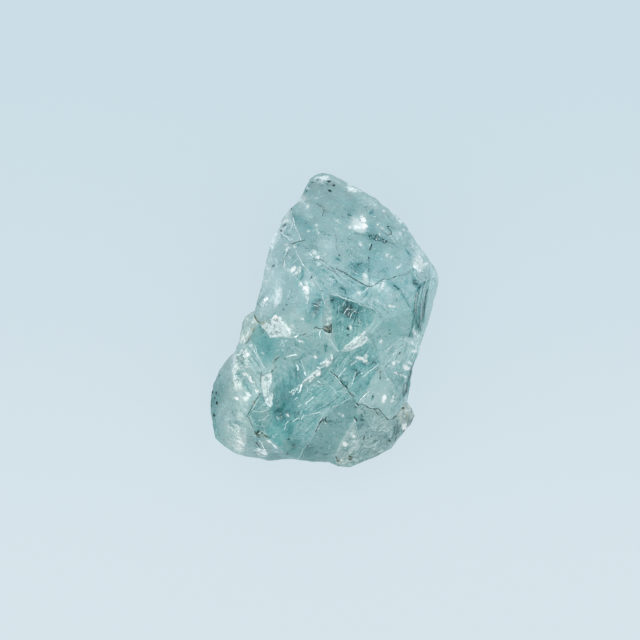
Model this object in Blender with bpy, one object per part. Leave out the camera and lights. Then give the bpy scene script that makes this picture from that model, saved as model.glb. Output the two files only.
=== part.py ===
"""A rough aquamarine crystal of 24 carats, broken free of its rock on every side.

The stone lies on its broadest break. It is drawn as a plan, seen from straight above:
the rim is the outline where the upper and under sides meet, each corner is a place
where broken faces meet, and each ridge is a chain of corners that stays sharp. Every
face of the stone is a skin stretched between its ridges.

Blender 4.5, metres, +Z up. The origin is at the bottom centre of the stone's box.
"""

import bmesh
import bpy
from mathutils import Vector, noise
from mathutils.geometry import delaunay_2d_cdt

# Driving dimensions
LENGTH = 0.0220  # foot to tip, along Y
THICKNESS = 0.0118  # resting face to highest ridge, along Z
MM = 0.001

# The plan is drawn on a square grid. X runs right and Y runs down from the sheet's
# corner, in steps, and heights are in millimetres above the resting face.
PLAN_LENGTH = 292.5
PLAN_CENTRE = (324.5, 319.75)
PLAN_TOP = 10.9
STEP = LENGTH / PLAN_LENGTH
HEIGHT = THICKNESS / (PLAN_TOP * MM)

# The rim, from the tip round by the right side, as (x, y, height)
RIM = (
    (317, 175, 4.6), (323, 173.5, 4.4), (331, 175.5, 4.5), (340, 180, 4.3), (350, 185.5, 4.6),
    (360, 190.5, 5.0), (374, 199, 5.3), (383, 207, 5.1), (391, 212, 4.6), (401, 220, 4.4),
    (409, 230, 4.9), (417, 243, 4.6), (427, 257, 3.9), (434, 267, 3.6), (438, 279, 3.3),
    (437, 287, 3.1), (433, 303, 2.9), (428, 321, 3.0), (423, 337, 3.3), (419, 355, 3.9),
    (413, 370, 3.6), (410, 388, 3.9), (407, 402, 3.6), (411, 408, 2.9), (415.5, 416, 2.6),
    (411, 425, 2.4), (404, 432, 2.6), (399, 438, 2.3), (391, 448, 2.2), (381, 454, 2.6),
    (371, 459, 2.4), (360, 463, 2.7), (350, 466, 3.3), (338, 465.5, 3.7), (328, 462.5, 3.5),
    (313, 462, 3.9), (298, 459.5, 4.2), (283, 459.5, 3.7), (268, 461.5, 3.1), (259, 458.5, 2.9),
    (246, 457, 3.2), (234, 453, 3.7), (225, 446, 4.1), (216, 438, 4.0), (213, 428, 3.7),
    (211, 413, 3.5), (211, 399, 3.9), (213, 385, 3.6), (219, 370, 3.1), (228, 358.5, 3.2),
    (234, 352, 3.5), (239, 341, 3.3), (242, 328, 3.6), (246, 317, 3.9), (252, 312.5, 4.2),
    (255.5, 311, 4.7), (258, 297, 5.1), (262, 280, 4.7), (266, 264, 4.9), (270, 248, 5.4),
    (275, 237, 5.2), (280.5, 228, 4.6), (282, 220, 4.4), (290, 209, 4.9), (299, 200.5, 5.3),
    (305, 189, 5.2), (310, 179.5, 4.9),
)

# Corners of the upper side, as name: (x, y, height)
UPPER = {
    # the smooth head, from the tip down to the long crack
    "head_tip": (324, 190, 6.6),
    "head_left": (306, 212, 7.2),
    "head_mid": (333, 222, 8.1),
    "head_brow": (362, 215, 7.6),
    "head_right": (392, 240, 7.1),
    "head_low": (345, 252, 9.2),
    "head_cheek": (378, 258, 9.0),
    "head_edge": (404, 246, 6.6),
    # the small chips on the left shoulder
    "chip_top": (292, 215, 6.6),
    "chip_mid": (297, 228, 7.6),
    "chip_low": (301, 240, 8.3),
    "chip_nick": (285, 224, 5.9),
    "chip_fold": (286, 237, 6.9),
    # the main ridge, from the shoulder down the middle
    "ridge_1": (294, 246, 8.2),
    "ridge_2": (301, 263, 9.1),
    "ridge_3": (311, 274, 9.6),
    "ridge_4": (322, 290, 10.2),
    "ridge_5": (324, 301, 10.3),
    "ridge_6": (322, 320, 10.1),
    "ridge_7": (323, 329, 9.9),
    # the left flank
    "flank_1": (279, 253, 6.9),
    "flank_2": (274, 276, 7.2),
    "flank_3": (290, 282, 8.6),
    "flank_4": (272, 301, 7.3),
    "flank_5": (297, 308, 9.2),
    # the long crack, left to right
    "crack_1": (316, 257, 9.2),
    "crack_2": (338, 271, 9.9),
    "crack_3": (355, 280, 10.3),
    "crack_4": (369, 287, 10.4),
    "crack_5": (383, 279, 9.9),
    "crack_6": (397, 276, 9.2),
    "crack_7": (409, 271, 8.4),
    # the brow over the window
    "brow_1": (330, 294, 10.7),
    "brow_2": (343, 297, 10.9),
    "brow_3": (358, 302.5, 10.8),
    "brow_4": (372, 308, 10.4),
    "brow_5": (380, 313, 10.1),
    "brow_mid": (392, 292, 9.9),
    # the window, a dished face under the brow
    "window_1": (331, 299, 10.0),
    "window_2": (343, 302, 9.9),
    "window_3": (357, 307, 9.8),
    "window_4": (371, 312.5, 9.8),
    "window_left": (331, 325, 9.5),
    "window_foot": (338, 352, 8.8),
    "window_pit": (348, 322, 9.1),
    # the bevel right of the window, and the bright flake at its foot
    "bevel_1": (383, 319, 9.9),
    "bevel_2": (371, 333, 9.5),
    "flake_tip": (364, 331.5, 9.6),
    "flake_right": (367, 339, 8.9),
    "flake_foot": (350, 350, 8.3),
    "flake_left": (350, 344, 9.1),
    # the blue face at the right
    "blue_1": (411, 312, 8.7),
    "blue_2": (409, 334, 8.0),
    "blue_3": (395, 342, 8.2),
    "blue_4": (378, 353, 8.3),
    # the white chip on the right shoulder
    "white_1": (413, 262, 7.8),
    "white_2": (418, 254, 6.0),
    "white_3": (429, 264, 5.0),
    "white_4": (421, 275, 6.6),
    "white_5": (414, 277, 8.0),
    # the striated prism face on the right side
    "prism_1": (417, 287, 8.3),
    "prism_2": (413.5, 301, 8.7),
    "prism_3": (429, 281, 5.5),
    "prism_4": (426.5, 301, 5.4),
    "prism_5": (424, 320, 5.1),
    "prism_6": (420, 334, 4.9),
    # the growth lines of the prism face, which stand up as long low steps
    "stria_1": (419.5, 285, 7.75),
    "stria_2": (417, 303, 8.05),
    "stria_3": (415.5, 326, 7.0),
    "stria_4": (423, 283.5, 6.5),
    "stria_5": (420.5, 302, 6.75),
    "stria_6": (418, 328, 6.0),
    # the splinters under the prism face, down the right side
    "splint_1": (414, 332, 6.3),
    "splint_2": (406, 346, 7.0),
    "splint_3": (414, 350, 5.3),
    "splint_4": (404, 362, 6.7),
    "splint_5": (403, 378, 6.4),
    "splint_6": (400, 398, 6.0),
    "splint_7": (407, 384, 4.6),
    # the right middle
    "mid_1": (386, 352, 8.3),
    "mid_2": (381, 365, 7.6),
    "mid_3": (362, 376, 8.0),
    "mid_4": (345, 368, 8.6),
    "mid_5": (352, 360, 8.0),
    "mid_6": (366, 356, 8.2),
    "mid_7": (392, 381, 6.9),
    # the stained crack that runs down to the foot
    "stain_1": (331, 372, 8.5),
    "stain_2": (345, 387, 8.1),
    "stain_3": (353, 397, 7.9),
    "stain_4": (358, 404, 7.7),
    "stain_5": (370, 408, 7.1),
    "stain_6": (380, 411, 6.5),
    "stain_7": (390, 419.5, 5.7),
    "stain_8": (399, 412, 5.4),
    "pale_1": (367, 394, 7.8),
    # the nub at the lower right
    "nub_1": (404, 405, 4.7),
    "nub_2": (401, 421, 4.5),
    "nub_3": (408, 416, 4.1),
    # the grey foot face
    "foot_1": (336, 405, 7.9),
    "foot_2": (322, 418, 7.3),
    "foot_3": (315, 433, 6.6),
    "foot_4": (303, 447, 5.5),
    "foot_5": (356, 419, 7.0),
    "foot_6": (345, 436, 5.9),
    "foot_7": (336, 451, 4.8),
    "foot_8": (374, 430, 5.7),
    "foot_9": (388, 437, 4.5),
    # the ledge on the left, and the white flake that drops from it
    "ledge_1": (268, 316, 7.2),
    "ledge_2": (277, 315.5, 8.0),
    "ledge_3": (284, 322, 8.5),
    "ledge_4": (291, 334, 8.7),
    "ledge_5": (300, 338, 9.0),
    "ledge_6": (313, 327, 9.5),
    "shelf_1": (262, 323, 6.0),
    "shelf_2": (270, 337, 6.2),
    "shelf_3": (282, 338, 6.8),
    "shelf_4": (291, 338, 7.8),
    # the small shoulder left of the ledge
    "knob_1": (250, 322, 4.9),
    "knob_2": (258, 322, 5.7),
    "knob_3": (251, 338, 5.3),
    "knob_4": (244, 345, 4.6),
    # the blue face under the ledge
    "under_1": (255, 352, 5.5),
    "under_2": (264, 367, 6.1),
    "under_3": (271, 369, 6.6),
    "under_4": (276, 352, 6.8),
    # the trough between the lobe and the middle
    "trough_1": (246, 358, 5.1),
    "trough_2": (248, 378, 5.7),
    "trough_3": (257, 384, 6.0),
    # the lobe on the lower left
    "lobe_1": (236, 356, 5.0),
    "lobe_2": (235, 372, 6.0),
    "lobe_3": (240, 387, 6.6),
    "lobe_4": (249, 399, 7.0),
    "lobe_5": (224, 383, 5.8),
    "lobe_6": (229, 408, 6.6),
    "lobe_7": (227, 430, 5.9),
    "lobe_8": (241, 435, 6.6),
    # the narrow white flake
    "sliver_1": (261, 376, 6.2),
    "sliver_2": (271, 374, 7.1),
    "sliver_3": (273, 390, 7.6),
    "sliver_4": (271, 407, 7.2),
    "sliver_5": (261, 393, 6.5),
    # the deep pocket
    "pocket_1": (247, 414, 7.0),
    "pocket_2": (257, 432, 6.7),
    "pocket_3": (272, 438, 6.6),
    "pocket_4": (284, 451, 5.7),
    "pocket_5": (291, 435, 6.7),
    "pocket_6": (302, 415, 7.5),
    "pocket_7": (290, 397, 7.2),
    "pocket_8": (281, 412, 6.3),
    # the middle left
    "core_1": (286, 347, 7.5),
    "core_2": (301, 347, 8.5),
    "core_3": (318, 345, 9.3),
    "core_4": (331, 347, 9.4),
    "core_5": (288, 372, 7.3),
    "core_6": (306, 362, 8.4),
    # the bright diagonal step, upper edge and lower edge
    "step_1": (331, 357, 9.3),
    "step_2": (320, 369, 9.0),
    "step_3": (308, 379, 8.6),
    "step_4": (299, 389, 8.0),
    "tread_1": (334, 361, 8.6),
    "tread_2": (324, 374, 8.3),
    "tread_3": (311, 385, 7.9),
    "tread_4": (300, 396, 7.6),
    # the hackled slope under the step
    "slope_1": (325, 392, 8.1),
    "slope_2": (309, 408, 7.7),
    "slope_3": (301, 429, 7.0),
    # the flaky patch at the lower left
    "patch_1": (253, 447, 5.5),
    "patch_2": (268, 451, 5.1),
}

# Sharp chains of the upper side. A number is a place on the rim, counted from 0.
UPPER_RIDGES = (
    (63, "chip_top", "chip_mid", "chip_low", "ridge_1"),
    (61, "chip_fold", "ridge_1", "ridge_2", "ridge_3", "ridge_4", "ridge_5", "ridge_6", "ridge_7"),
    (62, "chip_nick", "chip_fold"),
    ("chip_nick", "chip_mid"),
    ("ridge_2", "crack_1", "crack_2", "crack_3", "crack_4", "crack_5", "crack_6", "crack_7"),
    ("chip_low", "crack_1"),
    ("crack_7", "white_1", "white_2", 12),
    ("white_2", "white_3", "white_4", "white_5", "white_1"),
    ("crack_7", "white_5", "prism_1", "prism_2", "blue_1", "blue_2"),
    ("white_4", "prism_1"),
    ("white_3", "prism_3", "prism_4", "prism_5", "prism_6"),
    ("prism_1", "stria_1", "stria_4", "prism_3"),
    ("stria_1", "stria_2", "stria_3"),
    ("stria_4", "stria_5", "stria_6"),
    ("white_3", 13),
    ("blue_2", "splint_1", "prism_6", 18),
    ("ridge_4", "brow_1", "brow_2", "brow_3", "brow_4", "brow_5", "bevel_1"),
    ("crack_4", "brow_3"),
    ("brow_mid", "crack_5"),
    ("brow_mid", "blue_1"),
    ("brow_1", "window_1", "window_2", "window_3", "window_4", "brow_5"),
    ("window_1", "window_left", "window_foot", "flake_left", "flake_tip", "window_4"),
    ("window_left", "ridge_7"),
    ("bevel_1", "bevel_2", "flake_right", "flake_foot", "window_foot"),
    ("bevel_2", "flake_tip"),
    ("bevel_1", "blue_1"),
    ("flake_right", "blue_4", "mid_1", "blue_3", "blue_2"),
    ("blue_2", "splint_2", "splint_4", "splint_5", "splint_6", "stain_8"),
    ("splint_1", "splint_3", 19),
    ("splint_2", "splint_3"),
    ("splint_4", 20),
    ("splint_5", "splint_7", 22),
    ("splint_6", "splint_7"),
    ("flake_foot", "mid_5", "mid_4", "mid_3", "mid_2", "mid_1"),
    ("mid_5", "mid_6", "blue_4"),
    ("mid_2", "mid_7", "splint_6"),
    ("mid_2", "pale_1", "stain_4"),
    ("window_foot", "core_4", "step_1"),
    ("core_4", "ridge_7"),
    ("stain_1", "stain_2", "stain_3", "stain_4", "stain_5", "stain_6", "stain_7", "stain_8"),
    ("stain_1", "mid_4"),
    ("stain_8", "nub_1", 22),
    ("nub_1", "nub_3", "nub_2", 26),
    ("nub_3", 24),
    ("stain_8", "nub_2"),
    ("stain_3", "foot_1", "foot_2", "foot_3", "foot_4", 36),
    ("stain_4", "foot_5", "foot_6", "foot_7", 33),
    ("foot_5", "foot_8", "foot_9", 28),
    ("foot_8", "stain_7"),
    ("ledge_1", "ledge_2", "ledge_3", "ledge_4", "ledge_5", "ledge_6", "ridge_7"),
    (55, "knob_2", "shelf_1", "ledge_1"),
    ("shelf_1", "shelf_2", "shelf_3", "shelf_4", "ledge_5"),
    ("ledge_4", "shelf_4"),
    (53, "knob_1", "knob_2"),
    ("knob_1", "knob_3", "knob_2"),
    (51, "knob_4", "knob_3", "under_1", "under_2", "under_3", "under_4", "shelf_3"),
    ("knob_4", "trough_1", "trough_2", "trough_3", "sliver_5"),
    ("trough_1", "under_2"),
    (50, "lobe_1", "lobe_2", "lobe_3", "lobe_4", "sliver_5"),
    ("lobe_4", "pocket_1", "pocket_2", "pocket_3", "pocket_4", 37),
    ("under_2", "sliver_1", "sliver_5", "sliver_4", "sliver_3", "sliver_2", "sliver_1"),
    ("under_3", "sliver_2"),
    ("sliver_4", "pocket_8", "pocket_7", "tread_4"),
    ("pocket_8", "pocket_5", "pocket_6", "pocket_7"),
    ("pocket_4", "pocket_5"),
    ("under_4", "core_1", "core_2", "core_3", "core_4"),
    ("core_1", "shelf_4"),
    ("core_2", "core_6", "core_5", "sliver_3"),
    ("core_2", "ledge_5"),
    ("step_1", "step_2", "step_3", "step_4", "pocket_7"),
    ("step_1", "tread_1", "tread_2", "tread_3", "tread_4", "step_4"),
    ("tread_1", "mid_4"),
    ("pocket_6", "slope_2", "slope_1", "stain_2"),
    ("pocket_5", "slope_3", "foot_3"),
    ("pocket_2", "patch_1", "patch_2", "pocket_3"),
    ("patch_2", 38),
)

# Corners of the under side. The bed is the flat prism face that the stone rests on, and
# a second prism face rises from it on the right. The other faces are broken.
UNDER = {
    "bed_1": (298, 262, 0.0),
    "bed_2": (326, 234, 0.0),
    "bed_3": (374, 240, 0.0),
    "bed_4": (403, 270, 0.0),
    "bed_5": (397, 322, 0.0),
    "bed_6": (385, 372, 0.0),
    "bed_7": (378, 410, 0.0),
    "bed_8": (346, 428, 0.0),
    "bed_9": (302, 420, 0.0),
    "bed_10": (264, 404, 0.0),
    "bed_11": (256, 374, 0.0),
    "bed_12": (281, 318, 0.0),
    "prow_1": (321, 196, 2.6),
    "prow_2": (336, 212, 1.4),
    "prow_3": (366, 206, 2.4),
    "prow_4": (392, 226, 2.3),
    "prow_5": (412, 250, 1.3),
    "prow_6": (300, 222, 2.2),
    "sill_1": (425, 296, 2.1),
    "sill_2": (418, 303, 1.7),
    "sill_3": (407, 350, 1.2),
    "sill_4": (409, 366, 1.9),
    "heel_1": (398, 396, 1.5),
    "heel_2": (401, 420, 0.9),
    "heel_3": (384, 438, 0.8),
    "heel_4": (362, 446, 1.0),
    "heel_5": (338, 452, 2.2),
    "heel_6": (318, 441, 1.3),
    "heel_7": (288, 446, 2.0),
    "heel_8": (262, 438, 1.6),
    "belly_1": (235, 437, 2.0),
    "belly_2": (224, 415, 1.6),
    "belly_3": (230, 387, 1.2),
    "belly_4": (242, 362, 1.2),
    "belly_5": (255, 338, 1.7),
    "belly_6": (262, 322, 2.9),
    "flank_6": (272, 296, 1.7),
    "flank_7": (284, 262, 1.4),
    "flank_8": (286, 240, 2.4),
}
UNDER_RIDGES = (
    ("bed_1", "bed_2", "bed_3", "bed_4", "bed_5", "bed_6", "bed_7", "bed_8", "bed_9", "bed_10",
     "bed_11", "bed_12", "bed_1"),
    (1, "prow_1", "prow_2", "bed_2"),
    ("prow_2", "prow_3", 6),
    ("prow_3", "prow_4", "bed_3"),
    ("prow_4", "prow_5", 12),
    ("prow_5", "bed_4", 14),
    ("prow_1", "prow_6", "bed_1"),
    ("prow_6", 63),
    ("bed_4", "sill_2", "bed_5"),
    (15, "sill_1", "sill_2"),
    ("sill_2", "sill_3", "bed_6"),
    ("sill_3", "sill_4", 20),
    ("bed_6", "heel_1", 22),
    ("bed_7", "heel_2", 25),
    ("heel_2", "heel_3", "heel_4", "bed_8"),
    ("heel_3", 28),
    ("heel_4", "heel_5", 33),
    ("bed_8", "heel_6", "heel_5"),
    ("heel_6", "heel_7", 37),
    ("heel_7", "heel_8", "bed_10"),
    ("heel_8", "belly_1", 42),
    ("bed_10", "belly_2", 46),
    ("belly_1", "belly_2", "belly_3"),
    ("bed_11", "belly_3", 48),
    ("bed_11", "belly_4", 50),
    ("belly_3", "belly_4", "belly_5", "bed_12"),
    ("belly_5", "belly_6", 54),
    ("belly_6", "flank_6", "flank_7", "bed_1"),
    ("flank_6", "bed_12"),
    ("flank_7", "flank_8", 60),
    ("flank_8", "prow_6"),
)

# How a face lies between its ridges
CUTS = 2  # each triangle is halved this many times
STRETCH_ROUNDS = 14
SWELL = ((4.0 * MM, 0.16 * MM), (1.5 * MM, 0.07 * MM))  # (wave length, height) of the waves
BED_HEIGHT = 0.02 * MM  # points below this belong to the bed, and stay flat

MATERIAL = {"colour": (0.42, 0.68, 0.70, 1.0), "roughness": 0.12}


def placed(point):
    """A plan point as a place in metres."""
    x, y, height = point
    return Vector(
        ((x - PLAN_CENTRE[0]) * STEP, (PLAN_CENTRE[1] - y) * STEP, height * MM * HEIGHT)
    )


def chain_pairs(chains, index_of):
    """The pairs of neighbours in each chain, as point numbers."""
    pairs = set()
    for chain in chains:
        numbers = [c if isinstance(c, int) else index_of[c] for c in chain]
        pairs |= {tuple(sorted(pair)) for pair in zip(numbers, numbers[1:])}
    return pairs


def side_triangles(corners, chains):
    """(points, triangles, ridge pairs) of one side. The rim's points come first."""
    points = [placed(p) for p in RIM] + [placed(p) for p in corners.values()]
    index_of = {name: len(RIM) + i for i, name in enumerate(corners)}
    ridges = chain_pairs(chains, index_of)
    rim = [(i, (i + 1) % len(RIM)) for i in range(len(RIM))]
    flat = [p.to_2d() / MM for p in points]
    found = delaunay_2d_cdt(flat, rim + sorted(ridges), [list(range(len(RIM)))], 1, 1e-6)
    places, _, faces, sources = found[:4]
    if len(places) != len(points) or any(len(s) != 1 for s in sources):
        crossed = [tuple(round(c, 2) for c in p) for p, s in zip(places, sources) if len(s) != 1]
        raise ValueError(f"two ridges cross away from a corner, near {crossed}")
    return points, [[sources[v][0] for v in face] for face in faces], ridges


def cage():
    """The coarse stone as a closed mesh, with its sharp edges creased."""
    mesh = bmesh.new()
    crease = mesh.edges.layers.float.new("crease_edge")
    rim = [mesh.verts.new(placed(p)) for p in RIM]
    for corners, chains in ((UPPER, UPPER_RIDGES), (UNDER, UNDER_RIDGES)):
        points, faces, ridges = side_triangles(corners, chains)
        verts = rim + [mesh.verts.new(p) for p in points[len(RIM) :]]
        for face in faces:
            mesh.faces.new([verts[i] for i in face])
        sharp = ridges | {(i, (i + 1) % len(RIM)) for i in range(len(RIM))}
        for a, b in sharp:
            edge = mesh.edges.get((verts[a], verts[b]))
            edge[crease] = 1.0
    bmesh.ops.recalc_face_normals(mesh, faces=mesh.faces)
    return mesh, crease


def swell(point):
    """How far the broken face stands out or in at a point, as two sizes of smooth wave."""
    return sum(height * noise.noise(point / wave) for wave, height in SWELL)


def stretch_faces(mesh, crease):
    """Smooths each face between its ridges, which stay where they are."""
    for _ in range(CUTS):
        bmesh.ops.subdivide_edges(mesh, edges=mesh.edges, cuts=1, use_grid_fill=True)
    free = [v for v in mesh.verts if not any(e[crease] > 0 for e in v.link_edges)]
    for _ in range(STRETCH_ROUNDS):
        bmesh.ops.smooth_vert(
            mesh, verts=free, factor=0.5, use_axis_x=True, use_axis_y=True, use_axis_z=True
        )
    mesh.normal_update()
    moves = [
        (v, v.normal * swell(v.co)) for v in mesh.verts if v.co.z > BED_HEIGHT
    ]
    for vert, move in moves:
        vert.co += move


def crystal_material():
    """Clear pale blue-green, as a plain surface."""
    material = bpy.data.materials.new("aquamarine")
    material.use_nodes = True
    shader = material.node_tree.nodes["Principled BSDF"]
    shader.inputs["Base Color"].default_value = MATERIAL["colour"]
    shader.inputs["Roughness"].default_value = MATERIAL["roughness"]
    shader.inputs["Metallic"].default_value = 0.0
    return material


def clear_scene():
    for old in list(bpy.data.objects):
        bpy.data.objects.remove(old)


def main():
    clear_scene()
    mesh, crease = cage()
    stretch_faces(mesh, crease)
    data = bpy.data.meshes.new("crystal")
    mesh.to_mesh(data)
    mesh.free()
    data.materials.append(crystal_material())
    data.set_sharp_from_angle(angle=0.5)
    stone = bpy.data.objects.new("crystal", data)
    collection = bpy.data.collections.new("aquamarine_crystal")
    bpy.context.scene.collection.children.link(collection)
    collection.objects.link(stone)


main()
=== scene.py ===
# %% [markdown]
# # A rough aquamarine of 24 carats
#
# The stone is a broken piece of a clear blue-green beryl crystal, 22 mm long. This lesson
# dresses its plain solid: a fine skin with growth lines and shell-shaped breaks, a glass
# that drinks red light, soft clouds under the skin, frosted flakes, pale worn edges, and
# cracks that hold dirt and rust. Painted highlights, painted glows and painted shade along
# the rims lie among these marks, and some of the pale edges are painted edge highlights.

import math

import bmesh
import bpy
import numpy as np
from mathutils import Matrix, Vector


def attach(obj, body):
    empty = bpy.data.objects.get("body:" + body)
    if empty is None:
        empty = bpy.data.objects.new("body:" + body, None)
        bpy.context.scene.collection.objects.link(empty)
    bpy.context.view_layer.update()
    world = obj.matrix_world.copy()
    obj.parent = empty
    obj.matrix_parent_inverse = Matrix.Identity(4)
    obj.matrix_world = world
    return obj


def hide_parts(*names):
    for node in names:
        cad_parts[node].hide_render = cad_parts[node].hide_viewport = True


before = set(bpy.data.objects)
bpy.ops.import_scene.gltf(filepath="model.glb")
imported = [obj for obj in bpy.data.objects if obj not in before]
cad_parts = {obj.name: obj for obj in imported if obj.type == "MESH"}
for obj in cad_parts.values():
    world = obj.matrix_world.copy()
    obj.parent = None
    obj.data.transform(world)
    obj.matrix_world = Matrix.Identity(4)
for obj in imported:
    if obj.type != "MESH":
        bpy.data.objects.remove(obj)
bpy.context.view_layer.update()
MM = 0.001

# %% [markdown]
# ## The plan
#
# Every mark on the stone is drawn on one plan, seen from straight above, as a carver marks
# out a block on one sheet. X runs right and Y runs down from the sheet's corner, in steps
# of 0.075 mm. The solid was drawn on the same plan, so a mark falls where it belongs. The
# eye hangs 0.4 m above the sheet, and from there the high parts of the stone look up to
# two parts in a hundred larger than the low ones, so the plan allows for that.

# %% The plan's grid
STONE_LENGTH = 0.0220
PLAN_LENGTH = 292.5
PLAN_STEP = STONE_LENGTH / PLAN_LENGTH
PLAN_CENTRE = np.array([324.5, 319.75])
SHEET_SIZE = 640
SHEET_MIDDLE = np.array([SHEET_SIZE / 2, SHEET_SIZE / 2])
LENS = 300.0
SENSOR = 36.0
OUTLINE_HEIGHT = 4.2 * MM
EYE_DISTANCE = SHEET_SIZE * PLAN_STEP * LENS / SENSOR


def plan_of(points):
    """Plan place of each point: X and Y in steps, Y running down, grown by its nearness to the eye."""
    flat = points[:, :2] / PLAN_STEP * np.array([1.0, -1.0]) + PLAN_CENTRE
    larger = EYE_DISTANCE / (EYE_DISTANCE - points[:, 2:] + OUTLINE_HEIGHT)
    return SHEET_MIDDLE + (flat - SHEET_MIDDLE) * larger


def height_of(points):
    """Height of each point in millimetres."""
    return points[:, 2] / MM


print("one step of the plan is", round(PLAN_STEP / MM, 4), "mm")

# %% [markdown]
# ## A fine skin
#
# The solid has about eight thousand triangles, too coarse for growth lines and splinters.
# Each triangle is cut into four, twice over. Then the points inside each face are averaged
# with their neighbours while the points on sharp ridges are held back, so the faces turn
# smooth and the ridges stay crisp. A Subdivision Surface modifier would round them all.

# %% Weld a copy of the solid
WELD_GAP = 1e-6


def welded_arrays(node):
    """Points and triangles of a node's mesh, with the corners that coincide made one."""
    mesh = bmesh.new()
    mesh.from_mesh(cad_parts[node].data)
    bmesh.ops.remove_doubles(mesh, verts=mesh.verts, dist=WELD_GAP)
    bmesh.ops.triangulate(mesh, faces=mesh.faces)
    mesh.verts.index_update()
    points = np.array([v.co for v in mesh.verts])
    triangles = np.array([[v.index for v in f.verts] for f in mesh.faces])
    mesh.free()
    return points, triangles


points, triangles = welded_arrays("crystal")
print("welded:", len(points), "points,", len(triangles), "triangles")

# %% Normals of a triangle mesh
def unit(vectors):
    """Each vector over its length."""
    return vectors / np.maximum(np.linalg.norm(vectors, axis=1, keepdims=True), 1e-20)


def summed(index, values, size):
    """The sum of the rows that share an index, column by column."""
    return np.stack([np.bincount(index, column, size) for column in values.T], axis=1)


def face_normals(points, triangles):
    """The cross product of two sides, which is as long as twice the area."""
    a, b, c = (points[triangles[:, i]] for i in range(3))
    return np.cross(b - a, c - a)


def point_normals(points, triangles):
    """The mean normal of the faces round each point, weighted by their area."""
    normals = np.repeat(face_normals(points, triangles), 3, axis=0)
    return unit(summed(triangles.ravel(), normals, len(points)))


areas = np.linalg.norm(face_normals(points, triangles), axis=1) / 2
print("the solid's surface is", round(areas.sum() / MM**2), "square millimetres")

# %% Its edges, and which of them are sharp
SHARP_TURN = math.radians(17)


def edges_of(triangles):
    """(the edges, which of them is each side of each triangle)."""
    sides = np.sort(triangles[:, [[0, 1], [1, 2], [2, 0]]].reshape(-1, 2), axis=1)
    edges, which = np.unique(sides, axis=0, return_inverse=True)
    return edges, which.reshape(-1, 3)


def sharp_edges(points, triangles):
    """(the edges, true where the two faces beside one turn by more than SHARP_TURN)."""
    edges, which = edges_of(triangles)
    normals = unit(face_normals(points, triangles))
    owner = np.repeat(np.arange(len(triangles)), 3)
    pairs = owner[np.argsort(which.ravel(), kind="stable")].reshape(-1, 2)
    turn = np.sum(normals[pairs[:, 0]] * normals[pairs[:, 1]], axis=1)
    return edges, turn < math.cos(SHARP_TURN)


edges, sharp = sharp_edges(points, triangles)
print(sharp.sum(), "of", len(edges), "edges are sharp")

# %% Cut each triangle into four
CUTS = 2


def quartered(points, triangles, edges, sharp):
    """Cuts at the middles of the sides, and gives back the halves of the sharp edges."""
    _, which = edges_of(triangles)
    middle = which + len(points)
    a, b, c = triangles.T
    ab, bc, ca = middle.T
    cut = np.stack([[a, ab, ca], [ab, b, bc], [ca, bc, c], [ab, bc, ca]])
    centre = np.flatnonzero(sharp) + len(points)
    halves = np.concatenate([np.stack([edges[sharp, end], centre], axis=1) for end in (0, 1)])
    finer = np.concatenate([points, points[edges].mean(axis=1)])
    return finer, cut.transpose(0, 2, 1).reshape(-1, 3), halves


def among(edges, chosen):
    """True for each edge that is one of the chosen pairs."""
    keys = np.array([edges.max() + 1, 1])
    return np.isin(edges @ keys, np.sort(chosen, axis=1) @ keys)


for _ in range(CUTS):
    points, triangles, halves = quartered(points, triangles, edges, sharp)
    edges, _ = edges_of(triangles)
    sharp = among(edges, halves)
print("cut finer:", len(points), "points,", len(triangles), "triangles")

# %% Smooth the faces between the ridges
SMOOTH_ROUNDS = 10
FACE_SHARE = 0.6
RIDGE_SHARE = 0.3
BED_TOP = 0.01


def neighbour_mean(values, pairs):
    """(the mean of each point's neighbours along some edges, how many it has)."""
    both = np.concatenate([pairs, pairs[:, ::-1]])
    count = np.bincount(both[:, 0], minlength=len(values))
    total = summed(both[:, 0], values[both[:, 1]], len(values))
    return total / np.maximum(count, 1)[:, None], count


on_bed = height_of(points) < BED_TOP
_, ridge_count = neighbour_mean(points, edges[sharp])
kinds = [on_bed, ridge_count == 0, ridge_count == 2]
share = np.select(kinds, [0.0, FACE_SHARE, RIDGE_SHARE], 0.0)
for _ in range(SMOOTH_ROUNDS):
    mean_all, _ = neighbour_mean(points, edges)
    mean_ridge, _ = neighbour_mean(points, edges[sharp])
    goal = np.where(ridge_count[:, None] == 2, mean_ridge, mean_all)
    points = points + (goal - points) * share[:, None]
normals = point_normals(points, triangles)
print("smoothed", np.count_nonzero(ridge_count == 0), "points that lie inside faces")
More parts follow.
